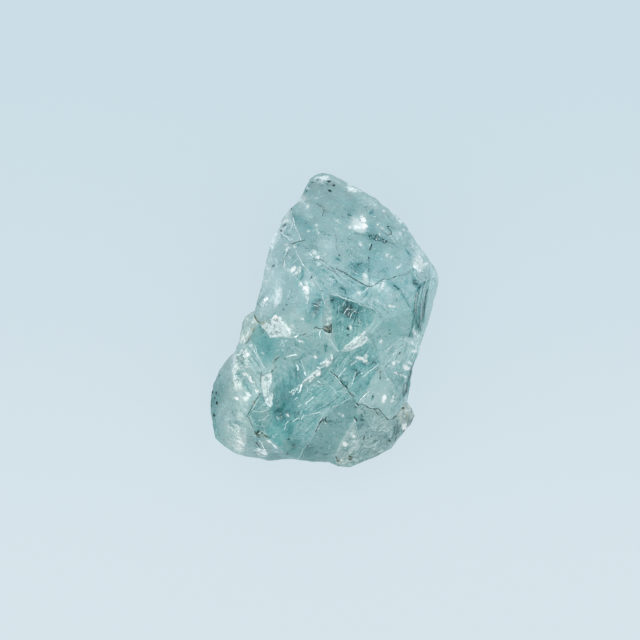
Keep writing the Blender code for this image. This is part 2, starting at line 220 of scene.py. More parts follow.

# %% [markdown]
# ## What is drawn on the plan
#
# A broken gem crystal carries the story of its breaks. Each face has its own depth of
# colour, because light comes to it through more or less stone. Cracks that reached the air
# took up dirt, and near the foot of the stone rust. Edges chipped to fine white powder, and
# thin flakes lifted and turned frosty. Each mark is drawn as a short list of corners, in
# steps of the plan, so it stays sharp however near the eye comes.
# Beside these, the bright spots and their glows are painted highlights, some soft clouds are painted glows
# and painted rim shade, and some pale edges are painted edge highlights.

# %% The faces: (depth of colour, greyness, mottling, matt share, softness of the edge, corners)
FACES = (
    (0.85, 0, 0.6, 0, 3, ((308, 170), (345, 175), (400, 215), (425, 250), (411, 271), (383, 279), (369, 287),
     (338, 270), (316, 257), (302, 240), (290, 212))),
    (1.05, 0, 0.6, 0, 4, ((291, 214), (300, 214), (318, 232), (313, 250), (301, 240), (296, 228))),
    (0.66, 0, 0.6, 0, 1.5, ((282, 217), (291, 214), (297, 228), (301, 240), (294, 246), (280, 230))),
    (0.77, 0, 0.5, 0, 1.5, ((276, 236), (288, 240), (295, 248), (312, 275), (322, 290), (323, 329),
     (300, 338), (291, 333), (284, 321), (268, 316), (255, 312), (266, 264))),
    (0.93, 0, 1, 0, 2, ((295, 247), (316, 257), (338, 271), (369, 287), (358, 303), (323, 290), (311, 274))),
    (0.94, 0, 1, 0, 1.5, ((369, 287), (383, 279), (410, 271), (415, 285), (411, 312), (380, 313),
     (358, 302))),
    (1.38, 0.15, 0.8, 0.5, 2.2, ((330, 296), (343, 298), (358, 303.5), (378, 313), (363, 331), (350, 344),
     (338, 352), (332, 325))),
    (0.66, 0, 0.7, 0, 1.5, ((324, 300), (330, 297), (332, 325), (338, 351), (331, 348), (323, 329))),
    (0.97, 0, 0.4, 0, 0.8, ((380, 313), (387, 319), (372, 336), (364, 331))),
    (1, 0, 0.5, 0, 1, ((385, 319), (411, 312), (409, 334), (395, 341), (378, 352), (370, 340))),
    (1.52, 0.22, 1.1, 0.9, 0.8, ((416, 286), (430, 278), (427, 302), (423, 322), (418, 336), (409, 340),
     (411, 312))),
    (1.4, 0.5, 0.6, 0.6, 0.9, ((412, 276), (414.5, 279), (418.5, 282.5), (416.5, 287), (413.5, 286))),
    (0.8, 0, 0.5, 0.3, 1.2, ((430, 262), (440, 279), (430, 320), (424, 336), (420, 334), (427, 300),
     (430, 280))),
    (0.78, 0, 1, 0.3, 2, ((409, 338), (422, 334), (419, 356), (409, 385), (403, 380), (404, 350))),
    (1.26, 0, 0.5, 0.3, 0.7, ((258, 323), (271, 338), (280, 338), (276, 352), (270, 366), (263, 362),
     (250, 337))),
    (0.7, 0.35, 1.1, 0.3, 1.2, ((246, 316), (254, 312), (258, 323), (250, 338), (244, 344), (238, 342))),
    (0.68, 0, 1, 0, 2, ((244, 344), (252, 344), (266, 370), (261, 392), (248, 398), (240, 388), (235, 356))),
    (0.8, 0, 0.6, 0, 4, ((235, 352), (236, 380), (248, 399), (249, 415), (256, 432), (252, 458), (215, 440),
     (208, 400), (218, 368))),
    (1.41, 0.03, 0.8, 0.5, 1, ((261, 393), (272, 406), (276, 400), (292, 400), (302, 415), (291, 436),
     (284, 452), (270, 440), (256, 432), (248, 414))),
    (1.42, 0.25, 0.7, 0.4, 6, ((250, 400), (268, 398), (270, 425), (262, 437), (248, 416))),
    (1.17, 0.1, 0.8, 0.2, 2.5, ((279, 340), (300, 342), (332, 347), (331, 357), (308, 379), (297, 390),
     (282, 400), (273, 398), (272, 370))),
    (1.19, 0.05, 1, 0.2, 2, ((299, 390), (333, 360), (345, 368), (331, 372), (353, 398), (322, 418),
     (303, 447), (291, 436), (302, 415))),
    (1.27, 0.05, 1.1, 0.25, 2, ((338, 353), (350, 350), (368, 339), (378, 352), (381, 365), (356, 400),
     (345, 387), (331, 372))),
    (0.84, 0.12, 0.7, 0, 1.5, ((381, 365), (392, 381), (400, 398), (399, 412), (390, 420), (380, 411),
     (358, 403))),
    (0.83, 0, 1, 0, 2, ((378, 353), (408, 336), (404, 362), (402, 392), (381, 366))),
    (1.42, 0.35, 0.55, 0.3, 1, ((353, 397), (357, 404), (350, 424), (342, 440), (336, 466), (298, 461),
     (303, 447), (315, 433), (322, 418))),
    (0.95, 0.45, 1.2, 0.3, 1.2, ((355, 419), (360, 440), (362, 464), (336, 468), (337, 451), (345, 436))),
    (1.19, 0.42, 1.1, 0.3, 2, ((357, 405), (380, 412), (390, 420), (400, 412), (402, 432), (380, 458),
     (361, 464), (359, 440))),
    (1.2, 0.15, 1, 0, 2, ((256, 440), (271, 441), (284, 452), (283, 462), (254, 460))),
    (1.14, 0.7, 1.2, 0.5, 1, ((403, 403), (409, 403), (418, 416), (404, 434), (400, 424), (399, 412))),
    (1.42, 0, 0.35, 0.1, 5, ((276, 384), (292, 376), (303, 386), (298, 404), (290, 418), (282, 424),
     (275, 420), (272, 408))),
    (1.38, 0.2, 0.8, 0.3, 4, ((283, 440), (296, 436), (303, 447), (298, 458), (284, 456))),
    (1.58, 0.35, 0.6, 0.3, 3, ((347, 405), (357, 405), (356, 420), (346, 424))),
    (0.98, 0, 0.6, 0, 7, ((350, 236), (372, 248), (386, 268), (376, 284), (352, 278), (345, 255))),
    (0.98, 0, 0.5, 0, 5, ((306, 312), (318, 310), (321, 326), (310, 330))),
    (1.02, 0, 0.8, 0, 5, ((345, 270), (388, 268), (392, 284), (366, 298), (350, 300))),
    (0.9, 0, 0.8, 0, 4, ((309, 284), (321, 286), (321, 296), (311, 296))),
    (1, 0.1, 0.7, 0, 5, ((378, 366), (390, 368), (392, 378), (384, 380))),
    (1.4, 0.1, 0.9, 0.2, 4, ((358, 378), (370, 380), (366, 392), (356, 390))),
    (1.12, 0, 0.5, 0, 4, ((380, 322), (390, 322), (390, 332), (380, 332))),
    (0.9, 0, 0.6, 0, 5, ((294, 254), (304, 256), (304, 292), (295, 290))),
    (1.5, 0.35, 0.6, 0.3, 3, ((333, 404), (345, 404), (344, 416), (334, 416))),
    (0.97, 0, 0.6, 0, 5, ((346, 224), (358, 226), (358, 236), (346, 236))),
    (1.35, 0, 0.9, 0.2, 4, ((296, 408), (306, 408), (304, 420), (296, 420))),
    (0.57, 0, 0.5, 0, 3, ((268, 240), (282, 216), (292, 208), (292, 216), (284, 228), (280, 240),
     (272, 250))),
    (0.62, 0, 0.6, 0, 4, ((312, 176), (336, 174), (352, 184), (366, 192), (380, 208), (372, 212), (352, 193),
     (330, 182), (314, 184))),
    (0.58, 0, 0.6, 0, 4, ((226, 438), (238, 446), (244, 456), (236, 456), (226, 448))),
)
print(len(FACES), "faces of their own colour")

# %% Cracks that hold dirt or rust: (half width, darkness, corners)
STAINS = (
    (0.45, 0.65, ((317, 203.5), (319.5, 205.5), (322, 206.8), (325, 210), (329, 212.5))),
    (0.35, 0.55, ((323, 207), (324, 210), (323, 213))), (0.6, 0.8, ((322.3, 214.3), (322.6, 216))),
    (0.55, 0.8, ((292, 243.8), (296, 242.5), (300, 241.5), (304.5, 240.2))),
    (0.35, 0.45, ((305.5, 248.7), (311, 248.3), (317, 248))),
    (0.5, 0.5, ((288, 251), (286, 256), (283.5, 260), (282.5, 265))),
    (0.35, 0.45, ((302, 262.3), (305, 262.5), (309, 262.5))),
    (0.4, 0.45, ((312, 260.5), (317, 260), (320.5, 259.3))), (0.65, 0.85, ((320.5, 259.3), (322.2, 260.3))),
    (0.35, 0.5, ((322, 260.5), (325, 262.5), (329, 265.5), (334, 269))),
    (0.35, 0.45, ((320, 265.5), (325, 267), (330, 270), (334, 271.5), (339, 277))),
    (0.6, 0.95, ((336.5, 268.6), (338.5, 270))), (0.55, 0.9, ((340.3, 270.6), (345, 273), (348.5, 275))),
    (0.65, 1, ((348.5, 275), (352, 277.6), (355, 279.3))), (0.75, 1, ((355, 279.3), (358, 281.2))),
    (0.55, 0.9, ((358, 281.2), (362, 283.4), (366, 285.4), (369, 286.7))),
    (0.45, 0.65, ((370, 286.8), (373, 286), (377, 283.5), (381, 280.5), (384.5, 278.7))),
    (0.35, 0.45, ((384.5, 279), (389, 279.6), (393, 278), (396.5, 276.3))),
    (0.65, 0.8, ((393.5, 277.5), (396, 276.5))), (0.35, 0.45, ((398, 276.2), (401, 275.6))),
    (0.35, 0.45, ((403, 275.5), (406, 275), (408.5, 273), (410.5, 270.5))),
    (0.45, 0.45, ((335.5, 235), (336.5, 239), (336, 243))), (0.4, 0.4, ((336, 246), (337, 251))),
    (0.6, 0.85, ((338.5, 254), (340.2, 256))), (0.9, 1, ((371.6, 244.3), (371, 247), (369.7, 250.3))),
    (0.6, 0.65, ((368.6, 257.3), (368.3, 258.8))), (0.25, 0.35, ((368.7, 260), (369, 268))),
    (0.6, 0.65, ((368.8, 269.3), (367.8, 270.6))), (0.3, 0.4, ((370.3, 272), (370, 275))),
    (0.25, 0.35, ((369.5, 277), (369.5, 286))), (0.5, 0.55, ((347.5, 237.5), (350.2, 240.3))),
    (0.45, 0.9, ((322.5, 329.2), (325, 327.2), (327.3, 325.8), (329.5, 326.6), (331.6, 324.6))),
    (0.95, 1, ((325, 327), (327.5, 327.2))), (0.7, 0.8, ((328, 330), (330.5, 330.3))),
    (0.5, 0.95, ((331.8, 323.8), (331.7, 328), (331.6, 332))), (0.55, 1, ((323, 329.6), (325.5, 331))),
    (0.95, 1, ((326.5, 331.3), (329, 332.3), (331, 332.5))),
    (0.8, 0.7, ((325.5, 329.3), (328, 329), (330.3, 328))),
    (0.6, 0.95, ((314.3, 328.6), (315.5, 327), (317, 328), (319, 329))),
    (0.4, 0.8, ((319, 329), (322.5, 329.4))), (0.65, 0.95, ((303, 335.2), (306, 333.6))),
    (0.35, 0.4, ((308, 336.5), (312, 335.5))),
    (0.6, 0.85, ((254.5, 315.5), (255.8, 318.5), (257.5, 321), (259, 322.6))),
    (0.45, 0.7, ((254.3, 328.5), (252.8, 331.5))), (0.45, 0.7, ((276.2, 318.8), (277.6, 320.6))),
    (0.4, 0.5, ((273.5, 331.5), (277, 332.6), (281, 331.8))), (0.4, 0.5, ((269.5, 323), (271.5, 324.8))),
    (0.4, 0.5, ((274, 325.5), (276, 324.5))), (0.6, 0.95, ((278.9, 357.3), (277.9, 357.6))),
    (0.6, 0.95, ((277, 358.4), (276, 359.4))), (0.45, 0.65, ((250, 337), (247.5, 340), (245, 343))),
    (0.4, 0.8, ((275.6, 359.8), (273.5, 362))), (0.55, 0.8, ((275.6, 367.3), (275, 367.8))),
    (0.65, 0.9, ((272.8, 370.2), (271.6, 371.3))), (0.45, 0.7, ((264, 375), (261, 377))),
    (0.4, 0.7, ((261, 372), (260.3, 379), (260.5, 385))),
    (0.5, 0.75, ((260.5, 393.5), (258, 397), (256, 399.5))), (0.65, 0.85, ((255, 401), (253.8, 403.2))),
    (0.45, 0.7, ((252.5, 406), (250, 411), (247.7, 415))),
    (0.35, 0.55, ((248, 416.5), (249, 419), (251, 424), (253, 428))),
    (0.75, 1, ((258, 430.1), (259.3, 431))), (0.6, 0.95, ((255, 431.6), (256.3, 432.6), (258, 433))),
    (0.6, 0.85, ((257.8, 436.6), (259.3, 437.2))), (0.6, 1, ((255.6, 434), (257.3, 435), (259, 435.3))),
    (0.5, 0.85, ((260, 433.2), (261.4, 434))),
    (0.45, 0.8, ((261.5, 432.3), (264, 434.5), (267, 437), (270, 438.5))),
    (0.7, 1, ((265, 436), (266.4, 436.9))), (0.6, 0.9, ((256.2, 443), (258, 446), (259.3, 447.5))),
    (0.6, 0.9, ((330.8, 371.8), (332, 373))), (0.55, 0.95, ((334, 374.3), (336, 375.8), (338, 377.8))),
    (0.65, 1, ((340.3, 380.5), (342, 383), (344, 385.2))), (0.95, 1, ((345.2, 386), (346.6, 387.3))),
    (0.35, 0.6, ((347, 387.8), (348.5, 391))), (0.55, 0.95, ((348.8, 392.3), (350.5, 393.5))),
    (1.1, 1, ((351, 394.3), (353.3, 396.2))), (0.8, 0.95, ((357, 404), (358, 405.3))),
    (0.4, 0.7, ((358.5, 405), (361.5, 404.4), (366, 406.3))), (0.65, 0.9, ((366.8, 406.6), (368, 407.9))),
    (0.45, 0.8, ((368, 407.9), (370.5, 409), (374, 409.5), (376, 408.7), (378, 408.8))),
    (0.65, 0.9, ((378.5, 409.3), (380.3, 410.4), (381.4, 412.4))),
    (0.6, 0.85, ((375, 410), (376, 412), (377.5, 414), (379, 415))),
    (0.45, 0.8, ((381.8, 413.3), (384, 415.5))), (0.6, 0.9, ((385, 416.6), (387.3, 418.9))),
    (0.35, 0.65, ((388, 419.7), (391, 420), (393, 419))), (0.95, 1, ((394, 417.8), (396.5, 416.4))),
    (0.35, 0.65, ((397.5, 415.5), (400, 412.5))), (0.45, 0.5, ((376, 370.6), (379, 368.6))),
    (0.45, 0.55, ((380.5, 371.5), (381, 374))), (0.85, 1, ((380.9, 376.8), (380.3, 379))),
    (0.75, 0.95, ((354.3, 417.6), (355.5, 419.5), (357, 421))), (0.7, 0.8, ((326, 418), (325.6, 419.8))),
    (0.7, 0.9, ((325.4, 421), (326.6, 422.7))), (0.75, 1, ((323, 419.8), (321, 421.8), (319.5, 424.2))),
    (0.55, 0.85, ((319, 425.5), (317.3, 428), (316, 432))), (0.6, 0.7, ((335.7, 456.8), (336.8, 459))),
    (0.9, 0.9, ((337.3, 461.4), (339.2, 461.6))), (1.1, 0.75, ((349.3, 456.6), (352.3, 457))),
    (0.8, 0.7, ((349.5, 459.6), (351, 459.8))), (0.8, 1, ((364.6, 437.7), (363.7, 440))),
    (0.5, 0.5, ((374, 454), (377, 452.5), (378.5, 454))),
    (0.45, 0.5, ((318.5, 384.2), (321, 384.9), (324, 384.5))),
    (0.5, 0.5, ((396, 371), (399, 374), (402, 373))),
    (0.45, 0.8, ((369.5, 236.8), (372, 234.8), (375, 236), (377, 234.6), (379.5, 235.5))),
    (0.45, 0.75, ((370.5, 239.2), (373.5, 238.2), (376, 240.5), (378.5, 239.8), (381, 241.5))),
    (0.4, 0.65, ((373, 236.5), (374.5, 238.5), (377.5, 237.5), (379, 239.5))),
    (0.45, 0.8, ((379, 236.3), (382, 238.3), (384.5, 240), (387, 241.5))),
    (0.45, 0.75, ((380.5, 240.5), (383, 243), (385.5, 243.5), (387, 241.7))),
    (0.35, 0.6, ((387, 241.7), (390.5, 243), (394, 244.7))),
    (0.5, 0.75, ((387, 228.5), (389.5, 229.5), (391.3, 231.5), (391, 234.3), (388.5, 235.2))),
    (0.35, 0.45, ((382, 231), (385, 233.5), (388.3, 235))),
    (0.35, 0.4, ((355, 233.5), (360, 234.5), (366, 236), (370, 235.3))),
    (0.55, 0.6, ((396.5, 286.5), (398, 288.5), (400.5, 289.5))),
    (0.35, 0.5, ((401, 291.5), (403.5, 295.5), (405, 299))),
    (0.55, 0.6, ((393.5, 284.5), (395.5, 286.8), (397.5, 288))),
    (0.3, 0.45, ((405, 299), (407, 303), (409, 306.5))),
    (0.5, 0.55, ((356.5, 266.8), (359, 264.6), (362, 263.3))), (0.35, 0.45, ((351.3, 267.5), (352, 269.5))),
)
print(len(STAINS), "pieces of dark cracks")

# %% Old iron that has run out of the cracks and dried: the same
OCHRES = (
    (0.9, 0.85, ((255, 317), (256.5, 319.5), (259, 322.5))),
    (1, 0.85, ((259.5, 323), (263, 323.3), (266.5, 321.8))), (0.9, 0.8, ((254, 328), (252, 332))),
    (0.9, 0.85, ((250.5, 336.5), (246, 342))), (1.1, 0.5, ((254.6, 401.5), (254, 403.5))),
    (0.9, 0.32, ((278.5, 357.5), (273.5, 362), (275.5, 367.5), (271.5, 371.5))),
    (1, 0.5, ((276.5, 319.5), (277.5, 321))), (1.6, 0.55, ((336.5, 458.5), (338.5, 462))),
    (2.6, 0.6, ((326.5, 329.6), (330, 329.3))), (1.6, 0.6, ((349.5, 456.5), (350.5, 460))),
    (1.2, 0.45, ((403, 408.5), (407, 414), (408, 420))), (1, 0.35, ((376, 370), (380.5, 371), (380.8, 376))),
    (1.6, 0.6, ((255.5, 432.5), (258, 433.5), (263, 434.5), (267, 437))),
)
print(len(OCHRES), "runs of dried iron")

# %% Dark lines of deeper stone: the same
VEINS = (
    (0.8, 0.9, ((343, 313), (345, 309.5), (347, 307), (350.5, 306))),
    (1.2, 0.8, ((337.5, 311.8), (341, 312.4))), (1.6, 0.9, ((347.5, 311.8), (348.5, 317))),
    (1.3, 0.8, ((346.5, 300.8), (347.5, 304))), (0.9, 0.8, ((351, 305.3), (352, 308))),
    (0.7, 0.8, ((358.5, 321), (361, 320))), (0.8, 0.8, ((353.5, 318), (353.7, 319))),
    (0.8, 0.5, ((333, 298.5), (340, 299.5), (345, 301))), (0.6, 0.6, ((373, 307), (373.3, 308.2))),
    (0.6, 0.5, ((376, 320), (376.3, 321.3))), (0.8, 0.8, ((347, 329.2), (348.6, 327.8))),
    (0.7, 0.8, ((347.3, 336.3), (349, 334.5))),
    (0.55, 0.6, ((354, 232), (358, 234), (362, 235.3), (366, 236), (370, 235.5))),
    (0.4, 0.4, ((381, 229.7), (384, 228.6), (386.5, 228))),
    (0.5, 0.55, ((372.8, 212.5), (374, 214), (375.5, 215.8))),
    (0.8, 0.5, ((406, 250.5), (408.5, 253), (412, 257))),
    (0.5, 0.5, ((407, 253), (409.5, 257.5), (410.5, 262))), (1.2, 0.5, ((356, 264), (360, 263.5))),
    (0.7, 0.6, ((357, 266.5), (359.5, 264.5), (362.5, 263))), (0.6, 0.5, ((351.3, 267.5), (352, 269.5))),
    (0.8, 0.45, ((352.5, 274.5), (356, 276.5))), (1.1, 0.7, ((336, 258.5), (340, 260.5))),
    (1, 0.6, ((348, 215), (351, 216))), (0.7, 0.5, ((345.5, 220), (347, 222.5))),
    (1.6, 0.8, ((362.5, 288.5), (365, 288))), (0.7, 0.5, ((368.5, 290), (366.5, 295), (363.5, 298.5))),
    (1.2, 0.75, ((341.5, 288), (344, 289.5))), (0.6, 0.6, ((345, 290.5), (346, 294), (349, 298))),
    (0.8, 0.85, ((325.8, 343), (326.8, 346.5))), (0.7, 0.8, ((324.8, 347.5), (326, 351.8))),
    (1.8, 0.6, ((391.5, 283.5), (394, 285.7), (397, 287))), (1.9, 0.95, ((396.5, 287), (399, 289.7))),
    (1.6, 0.45, ((399, 290), (402, 294.5), (404.5, 299))), (0.8, 0.8, ((403, 296), (405.5, 299))),
    (0.5, 0.7, ((407.5, 305), (409, 307))), (0.55, 0.6, ((429, 279), (427.5, 286), (426, 293), (425, 297))),
    (0.5, 0.55, ((424.5, 283), (422.5, 290), (421, 296))),
    (0.5, 0.55, ((420, 286), (417, 292), (415.5, 300))),
    (0.8, 0.6, ((424.5, 303), (424, 311), (424, 318), (423.3, 322))), (0.5, 0.5, ((422.3, 312), (422, 320))),
    (0.8, 0.9, ((419.7, 321), (418, 327))), (0.6, 0.45, ((414.5, 304), (414, 312), (413.5, 320))),
    (0.5, 0.45, ((417, 306), (416.3, 314), (416, 322))), (0.6, 0.7, ((421, 329), (421, 335))),
    (0.6, 0.7, ((410.5, 330), (409.5, 337))), (0.5, 0.6, ((412.5, 330), (412.5, 338))),
    (0.45, 0.5, ((418, 287), (415, 296), (414, 305), (412.5, 315), (411.5, 325), (409.5, 337))),
    (1.6, 0.7, ((413.5, 277), (415.5, 284), (418, 284))), (0.5, 0.6, ((407, 343), (406, 348), (405, 352))),
    (0.5, 0.6, ((410.5, 342), (410.3, 344.5))),
    (1.5, 0.9, ((417.5, 358), (415, 364), (411.5, 370), (409, 377), (407.5, 384), (405, 392), (402.5, 400))),
    (0.5, 0.75, ((404, 383), (403, 388), (403, 394), (405, 396), (407, 391), (407.5, 385), (405.3, 382.3))),
    (0.5, 0.6, ((398, 386), (396.5, 388), (398, 390.3), (399.7, 388), (398, 386))),
    (0.8, 0.75, ((361.2, 413.5), (361.7, 417.5))), (1.3, 0.9, ((360.5, 420.2), (363.3, 420))),
    (0.6, 0.55, ((356.5, 422), (358.8, 426.5), (360.5, 428))), (1, 0.8, ((359, 436.8), (360.2, 437.5))),
    (0.9, 0.55, ((326.5, 422), (329, 421.3), (332.5, 421.5))),
    (0.9, 0.75, ((397.7, 420.5), (397.7, 428), (396.5, 434), (395, 441))),
    (0.7, 0.65, ((394.5, 426), (393, 434), (392, 438))), (0.6, 0.6, ((400.5, 425), (400.5, 429))),
    (0.9, 0.85, ((401.3, 430.3), (402, 434.5))), (0.8, 0.8, ((404.3, 430.3), (404.7, 432.7))),
    (0.5, 0.6, ((366, 448.7), (369, 449.4), (373, 447.5), (378, 442.5))),
    (1.3, 0.5, ((355.5, 424), (357.5, 431), (358.5, 438))), (1, 0.5, ((357, 456.5), (360, 462))),
    (0.55, 0.28, ((277, 412), (280, 411.3), (284, 412), (285.5, 414.5), (283, 416.7), (279.5, 415))),
    (0.6, 0.25, ((281.5, 416), (284, 416))), (0.7, 0.35, ((276.3, 422.5), (277.8, 426))),
    (0.6, 0.4, ((275.5, 402), (278, 408), (276.5, 412))), (0.6, 0.5, ((303, 348.8), (305.5, 349.5))),
    (0.6, 0.5, ((288.5, 347.5), (287.5, 351.5))), (0.6, 0.55, ((303, 354), (306, 356.5))),
    (0.9, 0.6, ((340, 378.5), (344, 376), (349, 375.5))),
    (1.2, 0.6, ((355.5, 370), (357.5, 373), (355.5, 376.5))), (0.8, 0.6, ((357, 372.5), (360.5, 372.5))),
    (0.7, 0.5, ((347.5, 381), (347, 386))), (0.6, 0.4, ((372, 342), (375, 348), (377, 352))),
    (0.4, 0.5, ((362.5, 401), (366, 397.5), (370, 393))), (0.5, 0.5, ((375, 372), (371, 377), (368, 384))),
    (0.7, 0.6, ((281.5, 226), (284, 223.8), (286.5, 223.3))), (0.6, 0.5, ((287, 229), (290.5, 228.3))),
    (0.7, 0.55, ((287, 233.5), (289.5, 235.5), (291.5, 236.2))),
    (0.9, 0.5, ((302, 270), (303.5, 273), (302, 278), (300, 280.5))),
    (0.8, 0.7, ((312.5, 303.5), (316, 304.2))), (0.8, 0.7, ((319.5, 299), (321.5, 300))),
    (0.9, 0.6, ((310.5, 308), (316, 309.5), (320, 310))), (0.6, 0.6, ((306, 317), (308.5, 320.5))),
    (0.6, 0.6, ((305.5, 321), (309, 323))), (1.2, 0.6, ((331.5, 300), (333.5, 304), (334, 309))),
    (1, 0.6, ((327, 309.5), (329, 307.5))), (1.2, 0.35, ((274.5, 332.5), (278, 332.8))),
    (0.9, 0.3, ((271.5, 327.5), (274, 328.5))), (1.3, 0.3, ((417, 262.5), (418, 264.5))),
    (0.7, 0.5, ((262.8, 395), (265.5, 399), (268.5, 396.5))), (0.7, 0.4, ((269.5, 398.5), (270, 403))),
    (0.8, 0.35, ((362.5, 339.5), (364.5, 338.5), (364.5, 340))), (0.9, 0.4, ((355.5, 342.8), (357, 341.5))),
)
print(len(VEINS), "dark lines")
